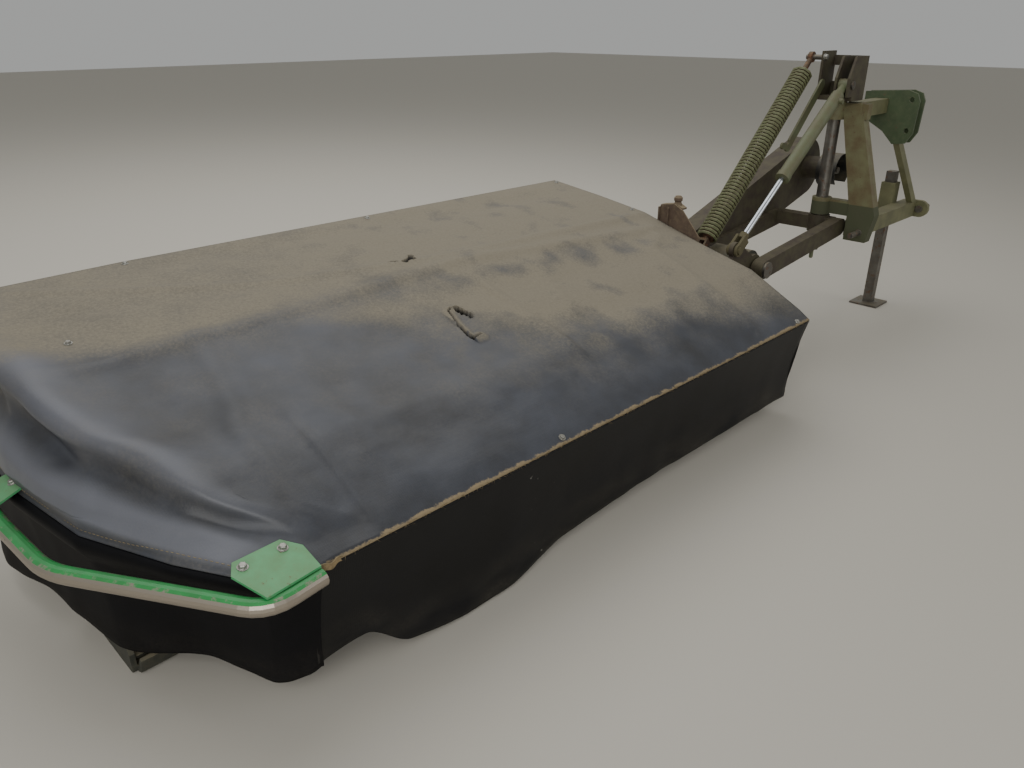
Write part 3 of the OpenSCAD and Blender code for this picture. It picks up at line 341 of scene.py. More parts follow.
@dataclass(frozen=True)
class CoatedCloth:
    """Rubber-coated polyester cloth. Point attributes say where dust lies, where a highlight is painted, and where it
    is rubbed, scuffed or torn.
    """

    name: str
    rubber: str = "#1e1f22"
    sheen: str = "#3a3e48"
    dust: str = "#6c6657"
    pale_dust: str = "#888070"
    fibre: str = "#84755a"
    scuff: str = "#a9a69c"
    shadow: str = "#0a0909"
    # painted highlight colour: a pale grey mixed in where the cover's fold catches the light
    painted_highlight: str = "#686a72"
    roughness: float = 0.42
    rough_dirt: float = 0.95
    gloss: float = 0.5
    cloud_mm: float = 260.0
    fleck_mm: float = 22.0
    speck_mm: float = 9.0
    thread_mm: float = 6.0
    bump_mm: float = 0.6

    def material(self) -> bpy.types.Material:
        """Build the cloth once and return it each time after.

        Returns:
            The material.
        """
        if self.name in bpy.data.materials:
            return bpy.data.materials[self.name]
        made = bpy.data.materials.new(self.name)
        made.use_nodes = True
        tree = made.node_tree
        shader = tree.nodes["Principled BSDF"]
        shader.inputs["Specular IOR Level"].default_value = self.gloss
        on_piece = {"Vector": add_node(tree, "TexCoord", "Object")}
        settled, painted_highlight_share, rubbed, scuffed, torn = (
            add_node(tree, "Attribute", "Fac", {"attribute_name": name})
            for name in ("dust", "painted_highlight_share", "rubbed", "scuffed", "torn"))
        clouds = add_node(tree, "TexNoise", "Fac", {"Scale": per_mm(self.cloud_mm), "Detail": 7.0, "Roughness": 0.6},
                          on_piece)
        specks = add_node(tree, "TexNoise", "Fac", {"Scale": per_mm(self.speck_mm), "Detail": 4.0, "Roughness": 0.75},
                          on_piece)
        # The weave is finer than the render shows, so its threads are drawn 6 mm apart
        weave = add_node(tree, "TexVoronoi", "Distance", {"Scale": per_mm(self.thread_mm), "Randomness": 0.35},
                         on_piece)

        # painted sheen: cloudy patches of the lighter blue-grey sheen colour stand in for the rubber's reflection
        sheen_patches = add_node(tree, "MapRange", 0, {"From Min": 0.3, "From Max": 0.7}, {"Value": clouds})
        rubber = add_node(tree, "Mix", 2, BLEND | {6: linear(self.rubber), 7: linear(self.sheen)}, {0: sheen_patches})
        # painted highlight: the fold's ridge and lower panel are mixed towards a pale grey where light falls on them
        rubber = add_node(tree, "Mix", 2, BLEND | {7: linear(self.painted_highlight)}, {0: painted_highlight_share, 6: rubber})

        broken, drift = (
            add_node(tree, "MapRange", 0, {"From Min": 0.3, "From Max": 0.7, "To Min": -much, "To Max": much},
                     {"Value": pattern})
            for much, pattern in ((0.22, specks), (0.11, clouds)))
        loose = add_node(tree, "Math", 0, {"operation": "ADD"}, {0: broken, 1: drift})
        edge = add_node(tree, "MapRange", 0, {"From Min": 0.02, "From Max": 0.3}, {"Value": settled})
        loose = add_node(tree, "Math", 0, {"operation": "MULTIPLY"}, {0: loose, 1: edge})
        lying = add_node(tree, "Math", 0, {"operation": "ADD", "use_clamp": True}, {0: settled, 1: loose})
        powder = add_node(tree, "Mix", 2, BLEND | {6: linear(self.dust), 7: linear(self.pale_dust)}, {0: specks})
        colour = add_node(tree, "Mix", 2, BLEND, {0: lying, 6: rubber, 7: powder})

        frayed = add_node(tree, "Math", 0, {"operation": "MULTIPLY_ADD", 1: 1.4}, {0: specks, 2: rubbed})
        frayed = add_node(tree, "MapRange", 0, {"From Min": 1.15, "From Max": 1.45}, {"Value": frayed})
        colour = add_node(tree, "Mix", 2, BLEND | {7: linear(self.fibre)}, {0: frayed, 6: colour})
        flecks = add_node(tree, "TexNoise", "Fac", {"Scale": per_mm(self.fleck_mm), "Detail": 3.0}, on_piece)
        flecks = add_node(tree, "MapRange", 0, {"From Min": 0.70, "From Max": 0.74, "To Max": 0.7}, {"Value": flecks})
        flecks = add_node(tree, "Math", 0, {"operation": "MULTIPLY"}, {0: flecks, 1: scuffed})
        colour = add_node(tree, "Mix", 2, BLEND | {7: linear(self.scuff)}, {0: flecks, 6: colour})
        colour = add_node(tree, "Mix", 2, BLEND | {7: linear(self.shadow)}, {0: torn, 6: colour})

        for dull in (frayed, torn):
            lying = add_node(tree, "Math", 0, {"operation": "MAXIMUM"}, {0: lying, 1: dull})
        rough = add_node(tree, "MapRange", 0, {"To Min": self.roughness, "To Max": self.rough_dirt}, {"Value": lying})
        grain = add_node(tree, "Math", 0, {"operation": "MULTIPLY_ADD", 1: 0.6}, {0: specks, 2: weave})
        bump = add_node(tree, "Bump", "Normal", {"Strength": 0.35, "Distance": self.bump_mm / 1000}, {"Height": grain})
        tree.links.new(colour, shader.inputs["Base Color"])
        tree.links.new(rough, shader.inputs["Roughness"])
        tree.links.new(bump, shader.inputs["Normal"])
        return made


# Polyester cloth under a calendered rubber coat: dark blue-grey, half gloss, with painted sheen in cloudy patches and a
# painted highlight on the fold's ridge and lower panel
COVER_CLOTH = CoatedCloth("rubber-coated cover cloth")
# Plain calendered rubber sheet: near black and dull
CURTAIN_CLOTH = CoatedCloth("rubber curtain sheet", rubber="#09090a", sheen="#101013", roughness=0.5, gloss=0.25)
# The same sheet at the outer end, rubbed matt where its hem rolls over the edge
ROLLED_CLOTH = CoatedCloth("rolled rubber sheet", rubber="#08080a", sheen="#0f0f12", dust="#4a443a",
                           pale_dust="#5a5347", roughness=0.6, gloss=0.12)


def away(line: Line, x: float, w: float) -> float:
    """Return how far a place on the cover lies from a line, seen in plan.

    Args:
        line: The line's corners, as distances across and behind the front edge.
        x: Distance from the hitch's centre line.
        w: Distance behind the cover's front edge.

    Returns:
        The distance.
    """
    nearest = math.inf
    for (ax, aw), (bx, bw) in zip(line, line[1:]):
        dx, dw = bx - ax, bw - aw
        t = min(1.0, max(0.0, ((x - ax) * dx + (w - aw) * dw) / (dx * dx + dw * dw)))
        nearest = min(nearest, math.hypot(x - ax - t * dx, w - aw - t * dw))
    return nearest


@dataclass(frozen=True)
class Crease:
    """A rounded ridge, or a hollow where rise is negative, along a line on the cover seen in plan."""

    path: Line
    rise: float
    spread: float

    def lift(self, x: float, w: float) -> float:
        """Return how much the line raises the cloth at a place."""
        return self.rise * math.exp(-((away(self.path, x, w) / self.spread) ** 2))


# The cover's section, as distances behind the front edge and heights
COVER_LINE = ((0.0, 0.430), (0.048, 0.461), (0.282, 0.580), (0.545, 0.647), (0.850, 0.735), (1.130, 0.775),
              (1.407, 0.808))
# The outer end's three lines from the front backwards: the shoulder, its foot and the cloth's edge
SHOULDER = ((3.700, 0.0, 0.430), (3.718, 0.096, 0.470), (3.890, 0.290, 0.574), (4.000, 0.545, 0.640),
            (4.080, 0.850, 0.727), (4.094, 1.130, 0.767), (4.094, 1.400, 0.800))
FOOT = ((3.745, 0.0, 0.430), (3.838, 0.046, 0.456), (3.950, 0.232, 0.474), (4.050, 0.482, 0.474),
        (4.096, 0.800, 0.474), (4.100, 1.085, 0.490), (4.100, 1.392, 0.640))
EDGE = ((3.760, 0.0, 0.430), (3.862, 0.024, 0.446), (3.975, 0.215, 0.452), (4.080, 0.470, 0.452),
        (4.128, 0.800, 0.452), (4.132, 1.080, 0.466), (4.118, 1.385, 0.610))
# Where the frame's ribs stand, and the cover's first and last line across
RIBS = (1.466, 2.596, 3.556)
INNER_END = 1.446
REAR_EDGE = 1.40


@dataclass
class CoverShape:
    """The cover's surface: its taut panels over the ribs, and the creases and hollows worked into it."""

    rows: tuple[tuple[Point, ...], ...] = (
        *(tuple((x, w, h) for w, h in COVER_LINE) for x in (INNER_END, 2.600, 3.560)), SHOULDER, FOOT, EDGE)
    # How many cells the grid has between two rows, and between two columns
    cells_u: tuple[int, ...] = (104, 88, 46, 30, 8)
    cells_v: tuple[int, ...] = (6, 24, 25, 29, 26, 25)
    # The shoulder's fold: its ridge, the hollow under it and the lower panel, each a height or a depth and its row
    ridge_rise: float = 0.030
    ridge_row: float = 2.95
    hollow_depth: float = 0.009
    stay_depth: float = 0.020
    hollow_row: float = 3.32
    panel_rise: float = 0.046
    # How far the used cloth lies wavy, and how softly it settles on the frame
    wavy: float = 0.006
    settle: float = 0.0022
    # Ridges run lengthways over the stays and across at the inner and outer ribs; hollows lie between them
    creases: tuple[Crease, ...] = (
        Crease(((1.50, 0.84), (2.56, 0.89), (3.20, 1.00), (3.62, 1.16), (3.95, 1.36)), 0.009, 0.024),
        Crease(((1.56, 0.72), (2.60, 0.84), (3.30, 0.80), (3.64, 0.80), (4.02, 0.80)), 0.013, 0.030),
        Crease(((1.60, 0.66), (1.72, 0.60), (1.79, 0.25), (1.80, 0.05)), 0.010, 0.024),
        Crease(((1.9, 0.58), (2.7, 0.64)), -0.012, 0.10),
        Crease(((2.0, 0.36), (3.3, 0.33)), -0.012, 0.13),
        Crease(((1.75, 1.27), (2.55, 1.28)), -0.012, 0.08),
        Crease(((2.75, 1.30), (3.45, 1.33)), -0.010, 0.07),
        Crease(((3.30, 1.02), (3.85, 1.12)), -0.008, 0.06),
        Crease(((3.60, 0.80), (3.66, 0.49), (3.70, 0.40)), 0.010, 0.034),
        Crease(((3.84, 0.80), (3.80, 0.56), (3.74, 0.40)), -0.010, 0.060),
        Crease(((3.70, 0.34), (3.70, 0.12)), 0.008, 0.030),
        Crease(((3.60, 0.38), (3.59, 0.05)), -0.011, 0.050),
        Crease(((3.36, 0.74), (3.46, 0.40), (3.40, 0.10)), 0.006, 0.040),
        Crease(((2.30, 0.74), (2.42, 0.42)), 0.005, 0.035),
    )

    def taut(self, u: float, v: float) -> Vector:
        """Return a place on the cover's flat panels.

        Args:
            u: Row number and share, from the inner end outwards.
            v: Column number and share, from the front edge backwards.

        Returns:
            The distance across, behind the front edge and above the floor.
        """
        i, j = min(len(self.rows) - 2, int(u)), min(len(self.rows[0]) - 2, int(v))
        a, b = u - i, v - j
        inner, outer = self.rows[i], self.rows[i + 1]
        here, far = Vector(inner[j]), Vector(outer[j + 1])
        if a >= b:
            return here.lerp(Vector(outer[j]), a) + b * (far - Vector(outer[j]))
        return here.lerp(Vector(inner[j + 1]), b) + a * (far - Vector(inner[j + 1]))

    def stations(self, cells: tuple[int, ...]) -> list[float]:
        """Return the grid's even steps between the rows or columns, each with its own number of cells."""
        return [k + n / count for k, count in enumerate(cells) for n in range(count)] + [float(len(cells))]

    def sink(self, u: float, v: float, at: Vector) -> float:
        """Return how far the cloth may lie under its taut panel before it meets the frame.

        Args:
            u: Row number and share, from the inner end outwards.
            v: Column number and share, from the front edge backwards.
            at: The distance across, behind the front edge and above the floor.

        Returns:
            The depth.
        """
        to_rib = min(abs(at.x - x) for x in RIBS)
        deepest = min(0.018, 0.0008 + 0.5 * max(0.0, to_rib - 0.004))
        to_stay = min(abs(v - k) for k in range(1, 6)) * 0.28
        beyond = 0.006 + (0.001 + 0.056 * smooth(0.0, 0.14, to_stay)) * smooth(3.0, 3.35, u)
        return deepest + (beyond - deepest) * smooth(2.55, 2.9, u)

    def wander(self, v: float) -> float:
        """Return how far the shoulder's fold wanders from its row at a column."""
        return 0.05 * math.sin(v * 4.1 + 0.6)

    def fold(self, u: float, v: float) -> float:
        """Return how far the shoulder's fold stands out, and the hollow under it falls in.

        Args:
            u: Row number and share, from the inner end outwards.
            v: Column number and share, from the front edge backwards.

        Returns:
            The height over the taut panel, negative in the hollow.
        """
        ridge_row, hollow_row = self.ridge_row + self.wander(v), self.hollow_row + self.wander(v)
        across = along([(1.0, 0.16), (2.0, 0.33), (3.0, 0.44), (4.0, 0.52)], v)
        drop = along([(1.0, 0.09), (2.0, 0.13), (3.0, 0.184), (4.0, 0.254), (5.0, 0.28)], v)
        room = min(1.0, drop / 0.22)
        width = 0.075 / across if u < ridge_row else 0.13
        ridge = self.ridge_rise * room * math.exp(-(((u - ridge_row) / width) ** 2))
        depth = self.hollow_depth + self.stay_depth * math.sin(math.pi * v) ** 2
        hollow = -depth * room ** 2 * math.exp(-(((u - hollow_row) / 0.15) ** 2))
        panel = self.panel_rise * room ** 2 * smooth(3.36, 3.76, u) * smooth(4.95, 4.15, u)
        panel *= 0.85 + 0.2 * math.sin(v * 2.3 + 0.4)
        strength = smooth(0.7, 1.7, v) * (1 - 0.6 * smooth(4.4, 5.6, v))
        return strength * (ridge + hollow) + panel * smooth(1.15, 1.95, v)

    def painted_highlight(self, u: float, v: float) -> float:
        """Return how much painted highlight lies on the fold's ridge and the lower panel, a pale grey mixed into the
        rubber where light falls.

        Args:
            u: Row number and share, from the inner end outwards.
            v: Column number and share, from the front edge backwards.

        Returns:
            The share of the painted highlight colour.
        """
        # painted highlight along the ridge, and painted light over the lower panel
        ridge = 0.52 * math.exp(-(((u - 2.93 - self.wander(v)) / 0.16) ** 2)) * smooth(1.0, 1.8, v)
        panel = 0.70 * smooth(3.40, 3.66, u + 0.03 * math.sin(v * 5)) * smooth(4.7, 4.1, u) * smooth(0.9, 1.6, v)
        return ridge + panel

    def worked(self, u: float, v: float, at: Vector) -> float:
        """Return how far the used cloth stands off its taut panel at a place.

        Args:
            u: Row number and share, from the inner end outwards.
            v: Column number and share, from the front edge backwards.
            at: The distance across, behind the front edge and above the floor.

        Returns:
            The height over the taut panel, never deeper than the frame lets it sink.
        """
        inside = smooth(0.0, 0.06, min(at.y, REAR_EDGE - at.y, at.x - INNER_END)) * smooth(0.0, 0.5, 5.0 - u)
        top = 1 - smooth(2.5, 3.05, u)
        rise = top * sum(c.lift(at.x, at.y) for c in self.creases) + self.fold(u, v)
        rise += self.wavy * noise.fractal(Vector((at.x * 2.3, at.y * 4.6, at.z * 3.0)), 1.0, 2.0, 4)
        stands, deepest = inside * rise, -self.sink(u, v, at)
        return 0.5 * (stands + deepest + math.sqrt((stands - deepest) ** 2 + self.settle ** 2 * inside))

    def dust(self, u: float, at: Vector) -> float:
        """Return how much dust lies on the cloth at a place.

        Args:
            u: Row number and share, from the inner end outwards.
            at: The distance across, behind the front edge and above the floor.

        Returns:
            From 0, bare rubber, to 1, covered.
        """
        x, w = at.x, at.y
        starts = along([(1.45, 0.10), (1.8, 0.22), (2.2, 0.32), (2.55, 0.40), (2.95, 0.60), (3.3, 0.76), (3.65, 0.80),
                        (3.9, 0.86), (4.1, 0.92)], x)
        drift = 0.08 * noise.fractal(Vector((x * 2.6, w * 2.6, 4.7)), 1.0, 2.0, 5)
        soft = 0.15 - 0.08 * smooth(2.7, 3.3, x)
        much = smooth(-soft, soft, w - starts + drift * soft / 0.15)
        band = ((1.72, 0.655), (2.06, 0.690), (2.38, 0.715), (2.62, 0.745), (2.95, 0.765), (3.62, 0.77))
        swept = Crease(band, 0.42, 0.060).lift(x, w)
        fine = 0.5 + noise.fractal(Vector((x * 9, w * 9, 1.1)), 1.0, 2.0, 3)
        haze = (0.10 + 0.52 * smooth(3.3, 2.4, x)) * smooth(0.03, 0.42, w) * smooth(1.5, 1.9, x + 0.6 * w) * fine
        lying = max(0.0, 0.80 * much - swept * much) + haze
        return max(0.0, lying * (1 - 0.9 * smooth(3.05, 3.5, u))) + 0.04 + 0.10 * smooth(3.9, 4.6, u) * fine


@dataclass(frozen=True)
class Tear:
    """A torn place in the cloth: shreds hang in along a line, one side of it curls up, and its rim can be bared.

    A bared rim shows its pale inside, on the part of the line that lies before bared_to across.
    """

    path: Line
    gap: float
    curl: float
    curl_reach: float = 0.035
    hangs: float = 0.020
    bares: float = 0.0
    bared_to: float = 0.0

    def open_at(self, x: float, w: float) -> bool:
        """Return whether the cloth is torn in at a place."""
        ragged = 1 + 0.5 * noise.noise(Vector((x * 160, w * 160, 3.0)))
        return away(self.path, x, w) < self.gap * ragged

    def lift(self, x: float, w: float) -> float:
        """Return how far the torn edge stands up at a place; its inner side curls most.

        Args:
            x: Distance from the hitch's centre line.
            w: Distance behind the cover's front edge.

        Returns:
            The height.
        """
        middle = self.path[len(self.path) // 2]
        side = 1.0 if x < middle[0] + 0.004 else 0.25
        return side * self.curl * max(0.0, 1 - away(self.path, x, w) / self.curl_reach) ** 2

    def bared(self, x: float, w: float) -> float:
        """Return how pale the rim is at a place."""
        return self.bares * smooth(0.03, 0.01, away(self.path, x, w)) if x < self.bared_to else 0.0


# A small crossed tear with a nick beside it, then a long flap that curls up, open at its front and bared along its rim
TEARS = (
    Tear(((2.768, 0.922), (2.738, 0.930), (2.722, 0.945), (2.706, 0.964)), 0.011, 0.008),
    Tear(((2.740, 0.942), (2.726, 0.922)), 0.011, 0.004),
    Tear(((2.795, 0.940), (2.801, 0.950)), 0.011, 0.001, hangs=0.016),
    Tear(((2.805, 0.598), (2.830, 0.602), (2.850, 0.590), (2.870, 0.520), (2.878, 0.470), (2.876, 0.440),
          (2.842, 0.442)), 0.0046, 0.016, bares=0.6, bared_to=2.870),
    Tear(((2.788, 0.556), (2.808, 0.592)), 0.017, 0.004, hangs=0.030),
    Tear(((2.878, 0.462), (2.872, 0.440)), 0.007, 0.0),
)


@dataclass
class Cover:
    """The cover's one sheet, with its worked folds and its tears."""

    shape: CoverShape = field(default_factory=CoverShape)
    thick: float = 0.003
    # How often the whole sheet, and then its front outer corner, is smoothed
    smoothed: int = 8
    corner_smoothed: int = 90
    corner_rows: tuple[float, float] = (2.75, 4.7)
    corner_columns: tuple[float, float] = (0.5, 2.8)

    def build(self) -> bpy.types.Object:
        """Make the sheet over the whole frame.

        Returns:
            The cover.
        """
        us, vs = self.shape.stations(self.shape.cells_u), self.shape.stations(self.shape.cells_v)
        cloth = bmesh.new()
        bmesh.ops.create_grid(cloth, x_segments=len(us) - 1, y_segments=len(vs) - 1, size=1.0)
        settled, rubbed, painted_highlight_share, _ = (
            cloth.verts.layers.float.new(name) for name in ("dust", "rubbed", "painted_highlight_share", "torn"))
        spot = {}
        for vert in cloth.verts:
            u = us[round((vert.co.x + 1) / 2 * (len(us) - 1))]
            v = vs[round((vert.co.y + 1) / 2 * (len(vs) - 1))]
            flat = self.shape.taut(u, v)
            vert.co = place(*flat)
            spot[vert] = (u, v, flat)
        inner = [v for v in cloth.verts if not v.is_boundary]
        (u0, u1), (v0, v1) = self.corner_rows, self.corner_columns
        corner = [v for v in inner if u0 < spot[v][0] < u1 and v0 < spot[v][1] < v1]
        for verts in [inner] * self.smoothed + [corner] * self.corner_smoothed:
            bmesh.ops.smooth_vert(cloth, verts=verts, factor=0.5, use_axis_x=True, use_axis_y=True, use_axis_z=True)
        cloth.normal_update()
        up = 1.0 if sum(f.normal.z for f in cloth.faces) > 0 else -1.0
        moved = [(v, v.co + (self.shape.worked(*spot[v]) - self.thick / 2) * up * v.normal) for v in cloth.verts]
        for vert, where in moved:
            vert.co = where
            u, v, flat = spot[vert]
            vert[settled] = self.shape.dust(u, flat)
            vert[painted_highlight_share] = self.shape.painted_highlight(u, v)
            ragged = 0.004 * noise.noise(Vector((flat.x * 30, 0.5, 0.5)))
            vert[rubbed] = smooth(0.013, 0.004, flat.y + ragged) * smooth(3.76, 3.70, flat.x) if u < 4 else 0.0
        for tear in TEARS:
            self.tear(cloth, tear)
        made = sheet_object("cover_cloth", cloth, COVER_CLOTH, self.thick, upward=True)
        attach(made, "cutter_unit")
        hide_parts("cover")
        return made

    def tear(self, cloth: bmesh.types.BMesh, tear: Tear) -> None:
        """Tear the cloth open at one place: shreds hang in, edges curl up.

        Args:
            cloth: The cover's mesh.
            tear: The torn place.
        """
        settled, torn = cloth.verts.layers.float["dust"], cloth.verts.layers.float["torn"]
        for reach in (0.050, 0.032):
            middles = [(f, f.calc_center_median()) for f in cloth.faces if f.normal.z != 0]
            near = [f for f, at in middles if away(tear.path, at.x, COVER_FRONT_Y - at.y) < reach]
            edges = list({e for f in near for e in f.edges})
            bmesh.ops.subdivide_edges(cloth, edges=edges, cuts=1, use_grid_fill=True)
        for vert in cloth.verts:
            x, w = vert.co.x, COVER_FRONT_Y - vert.co.y
            if tear.open_at(x, w):
                vert[settled] = 0.0
                vert[torn] = 1.0
                vert.co.z -= tear.hangs
            else:
                vert.co.z += tear.lift(x, w)
                vert[settled] += tear.bared(x, w)


def sheet_object(name: str, cloth: bmesh.types.BMesh, finish: CoatedCloth, thick: float,
                 upward: bool) -> bpy.types.Object:
    """Turn a cloth's mesh into a smooth object of one thickness.

    Args:
        name: The piece's name.
        cloth: Its mesh, which is freed.
        finish: The cloth it is made of.
        thick: Its thickness.
        upward: Whether its first face should look up.

    Returns:
        The object.
    """
    cloth.faces.ensure_lookup_table()
    looks_up = sum(f.normal.z for f in cloth.faces) > 0
    if upward and not looks_up:
        bmesh.ops.reverse_faces(cloth, faces=cloth.faces)
    for face in cloth.faces:
        face.smooth = True
    mesh = bpy.data.meshes.new(name)
    cloth.to_mesh(mesh)
    cloth.free()
    mesh.materials.append(finish.material())
    made = stand(name, mesh)
    walls = made.modifiers.new("thickness", "SOLIDIFY")
    walls.thickness = thick
    walls.offset = 0
    return made


@dataclass
class Curtain:
    """A rubber curtain that hangs from a line and is cut to an uneven lower edge."""

    name: str
    node: str
    top: tuple[Point, ...]
    bottom: tuple[Point, ...]
    flat: tuple[float, float]
    area: float
    folds: float = 0.010
    roll: float = 0.0
    roll_drop: float = 0.075
    belly: float = 0.012
    hem: float = 0.0015
    scuffs: tuple[float, float] = (0.0, 0.0)
    across: int = 150
    down: int = 40
    thick: float = 0.004
    finish: CoatedCloth = CURTAIN_CLOTH

    def row(self, points: tuple[Point, ...], share: float, rounded: float = 0.7) -> Vector:
        """Return the place a share of the way along a line of points.

        Args:
            points: Distances across, behind the front edge and above the floor.
            share: From 0 at the first point to 1 at the last.
            rounded: How much the corners are rounded, from 0 to 1.

        Returns:
            The place, in the same three measures.
        """
        at = share * (len(points) - 1)
        i = min(len(points) - 2, int(at))
        t = at - i
        p = [Vector(points[min(len(points) - 1, max(0, i + k))]) for k in (-1, 0, 1, 2)]
        curve = 0.5 * ((2 * p[1]) + (p[2] - p[0]) * t + (2 * p[0] - 5 * p[1] + 4 * p[2] - p[3]) * t * t
                       + (3 * p[1] - p[0] - 3 * p[2] + p[3]) * t ** 3)
        straight = p[1].lerp(p[2], t)
        return straight.lerp(curve, rounded)

    def build(self) -> bpy.types.Object:
        """Make the curtain with folds that grow towards its lower edge.

        Returns:
            The curtain.
        """
        cloth = bmesh.new()
        bmesh.ops.create_grid(cloth, x_segments=self.across, y_segments=self.down, size=1.0)
        settled = cloth.verts.layers.float.new("dust")
        scuffed = cloth.verts.layers.float.new("scuffed")
        for vert in cloth.verts:
            share, fall = (vert.co.x + 1) / 2, (1 - vert.co.y) / 2
            fall = 0.35 * fall + 0.65 * fall * fall if self.roll else fall
            upper, lower = self.row(self.top, share, 0.0), self.row(self.bottom, share)
            run = self.row(self.top, min(1.0, share + 0.01)) - self.row(self.top, max(0.0, share - 0.01))
            out = Vector((run.y, -run.x, 0.0)).normalized()
            at = upper.lerp(lower, fall)
            below = (upper - at).length
            ends = smooth(0.0, 0.03, share) * smooth(1.0, 0.97, share)
            wave = ends * self.folds * fall * noise.fractal(Vector((at.x * 3.1, at.y * 3.1, 7.0)), 1.0, 2.0, 3)
            hem = self.hem * smooth(0.030, 0.024, (at - lower).length)
            rolled = self.roll * math.sin(math.pi * min(1.0, (below / self.roll_drop) ** 0.7))
            rolled *= smooth(0.0, 0.06, share) * smooth(1.0, 0.9, share)
            at += out * (wave + hem + rolled - self.belly * math.sin(math.pi * fall))
            vert.co = place(*at)
            soiled = 0.5 + noise.fractal(Vector((at.x * 4, at.z * 9, 2.0)), 1.0, 2.0, 4)
            vert[settled] = 0.01 + 0.10 * smooth(0.6, 1.0, fall) * soiled
            low, high = self.scuffs
            vert[scuffed] = smooth(low, low + 0.05, at.x) * smooth(high, high - 0.05, at.x) if high else 0.0
        bmesh.ops.recalc_face_normals(cloth, faces=cloth.faces)
        made = sheet_object(self.name, cloth, self.finish, self.thick, upward=False)
        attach(made, "cutter_unit")
        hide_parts(self.node)
        return made


def curtains() -> list[Curtain]:
    """Draw the three curtains with the lines they hang from and are cut to.

    Returns:
        The front, inner and outer curtain.
    """
    front_top = (*((x, 0.0025, 0.4262) for x in (1.447, 2.0, 2.5, 2.85, 3.1, 3.3, 3.48, 3.6)), (3.738, 0.0075, 0.4262))
    front_low = ((1.447, 0.062, 0.070), (2.0, 0.074, 0.062), (2.5, 0.076, 0.056), (2.85, 0.068, 0.040),
                 (3.1, 0.046, 0.014), (3.3, 0.036, 0.012), (3.48, 0.042, 0.040), (3.6, 0.048, 0.135),
                 (3.742, 0.0585, 0.120))
    inner_top = ((1.4565, 0.010, 0.430), (1.4565, 0.180, 0.522), (1.4565, 0.400, 0.604))
    inner_low = ((1.4565, 0.064, 0.090), (1.4565, 0.190, 0.110), (1.4565, 0.400, 0.150))
    under_edge = ((x - 0.0025, w + (0.0025 if w < 0.9 else 0.0), h - 0.0036) for x, w, h in EDGE)
    outer_top = ((3.7275, 0.0025, 0.4264), *under_edge)
    outer_low = ((3.7305, 0.0525, 0.112), (3.7595, 0.0725, 0.088), (3.8195, 0.1325, 0.066), (3.9025, 0.2925, 0.100),
                 (4.0495, 0.4725, 0.103), (4.098, 0.800, 0.122), (4.145, 1.080, 0.088), (4.0825, 1.370, 0.140))
    return [
        Curtain("front_curtain_cloth", "front_curtain", front_top, front_low, (2.28, 0.42), 0.80, scuffs=(2.93, 3.10)),
        Curtain("inner_curtain_cloth", "inner_curtain", inner_top, inner_low, (0.40, 0.46), 0.15, folds=0.0, across=30),
        Curtain("outer_curtain_cloth", "outer_curtain", outer_top, outer_low, (1.75, 0.58), 0.75, folds=0.012,
                roll=0.017, finish=ROLLED_CLOTH),
    ]


def finished(name: str, shape: bmesh.types.BMesh, finish: Weathered, body: str) -> bpy.types.Object:
    """Turn a mesh into a piece that rides on a body.

    Args:
        name: The piece's name.
        shape: Its mesh, which is freed.
        finish: Its finish.
        body: The body it rides on.

    Returns:
        The object.
    """
    mesh = bpy.data.meshes.new(name)
    shape.to_mesh(mesh)
    shape.free()
    mesh.materials.append(finish.material())
    made = stand(name, mesh)
    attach(made, body)
    return made


def cone(shape: bmesh.types.BMesh, at: Vector, out: Vector, radii: tuple[float, float], span: tuple[float, float],
         sides: int, turn: float = 0.0) -> None:
    """Add one closed cone or prism that stands on a surface.

    Args:
        shape: The mesh it joins.
        at: Where its axis meets the surface.
        out: The surface's outward direction.
        radii: Its radius at both ends.
        span: How far both ends stand off the surface.
        sides: Its number of sides.
        turn: Its turn about its axis.
    """
    stand = Matrix.Translation(at) @ out.to_track_quat("Z", "Y").to_matrix().to_4x4()
    stand = stand @ Matrix.Rotation(turn, 4, "Z") @ Matrix.Translation((0, 0, (span[0] + span[1]) / 2))
    bmesh.ops.create_cone(shape, cap_ends=True, segments=sides, radius1=radii[0], radius2=radii[1],
                          depth=span[1] - span[0], matrix=stand)


@dataclass(frozen=True)
class Bolt:
    """A hexagon head on its washer."""

    across: float
    head: float
    washer: float
    washer_thick: float = 0.0018
    flange_thick: float = 0.0014

    def add(self, shape: bmesh.types.BMesh, at: Vector, out: Vector, turn: float = 0.3) -> None:
        """Seat the bolt on a surface.

        Args:
            shape: The mesh it joins.
            at: Where its axis meets the surface.
            out: The surface's outward direction.
            turn: Its turn about its axis.
        """
        corner = self.across / math.sqrt(3)
        seat = self.washer_thick + self.flange_thick
        chamfer = seat + self.head * 0.75
        cone(shape, at, out, (self.washer, self.washer), (0.0, self.washer_thick), 28)
        cone(shape, at, out, (corner * 1.08, corner), (self.washer_thick, seat), 24)
        cone(shape, at, out, (corner, corner), (seat, chamfer), 6, turn)
        cone(shape, at, out, (corner, corner * 0.8), (chamfer, seat + self.head), 6, turn)


class Surface:
    """The faces of a finished piece, for seating others on it."""

    def __init__(self, made: bpy.types.Object) -> None:
        """Read the faces of a piece.

        Args:
            made: The piece.
        """
        mesh = made.data
        self.tree = BVHTree.FromPolygons([v.co for v in mesh.vertices], [tuple(p.vertices) for p in mesh.polygons])

    def seat(self, near: Vector, side: Vector, lift: float = 0.0) -> tuple[Vector, Vector]:
        """Return the nearest point of the surface and its direction.

        Args:
            near: Where to look.
            side: The side that the direction should face.
            lift: How far off the faces the point lies.

        Returns:
            The point and the outward direction.
        """
        at, out, _, _ = self.tree.find_nearest(near)
        out = out if out.dot(side) > 0 else -out
        return at + out * lift, out


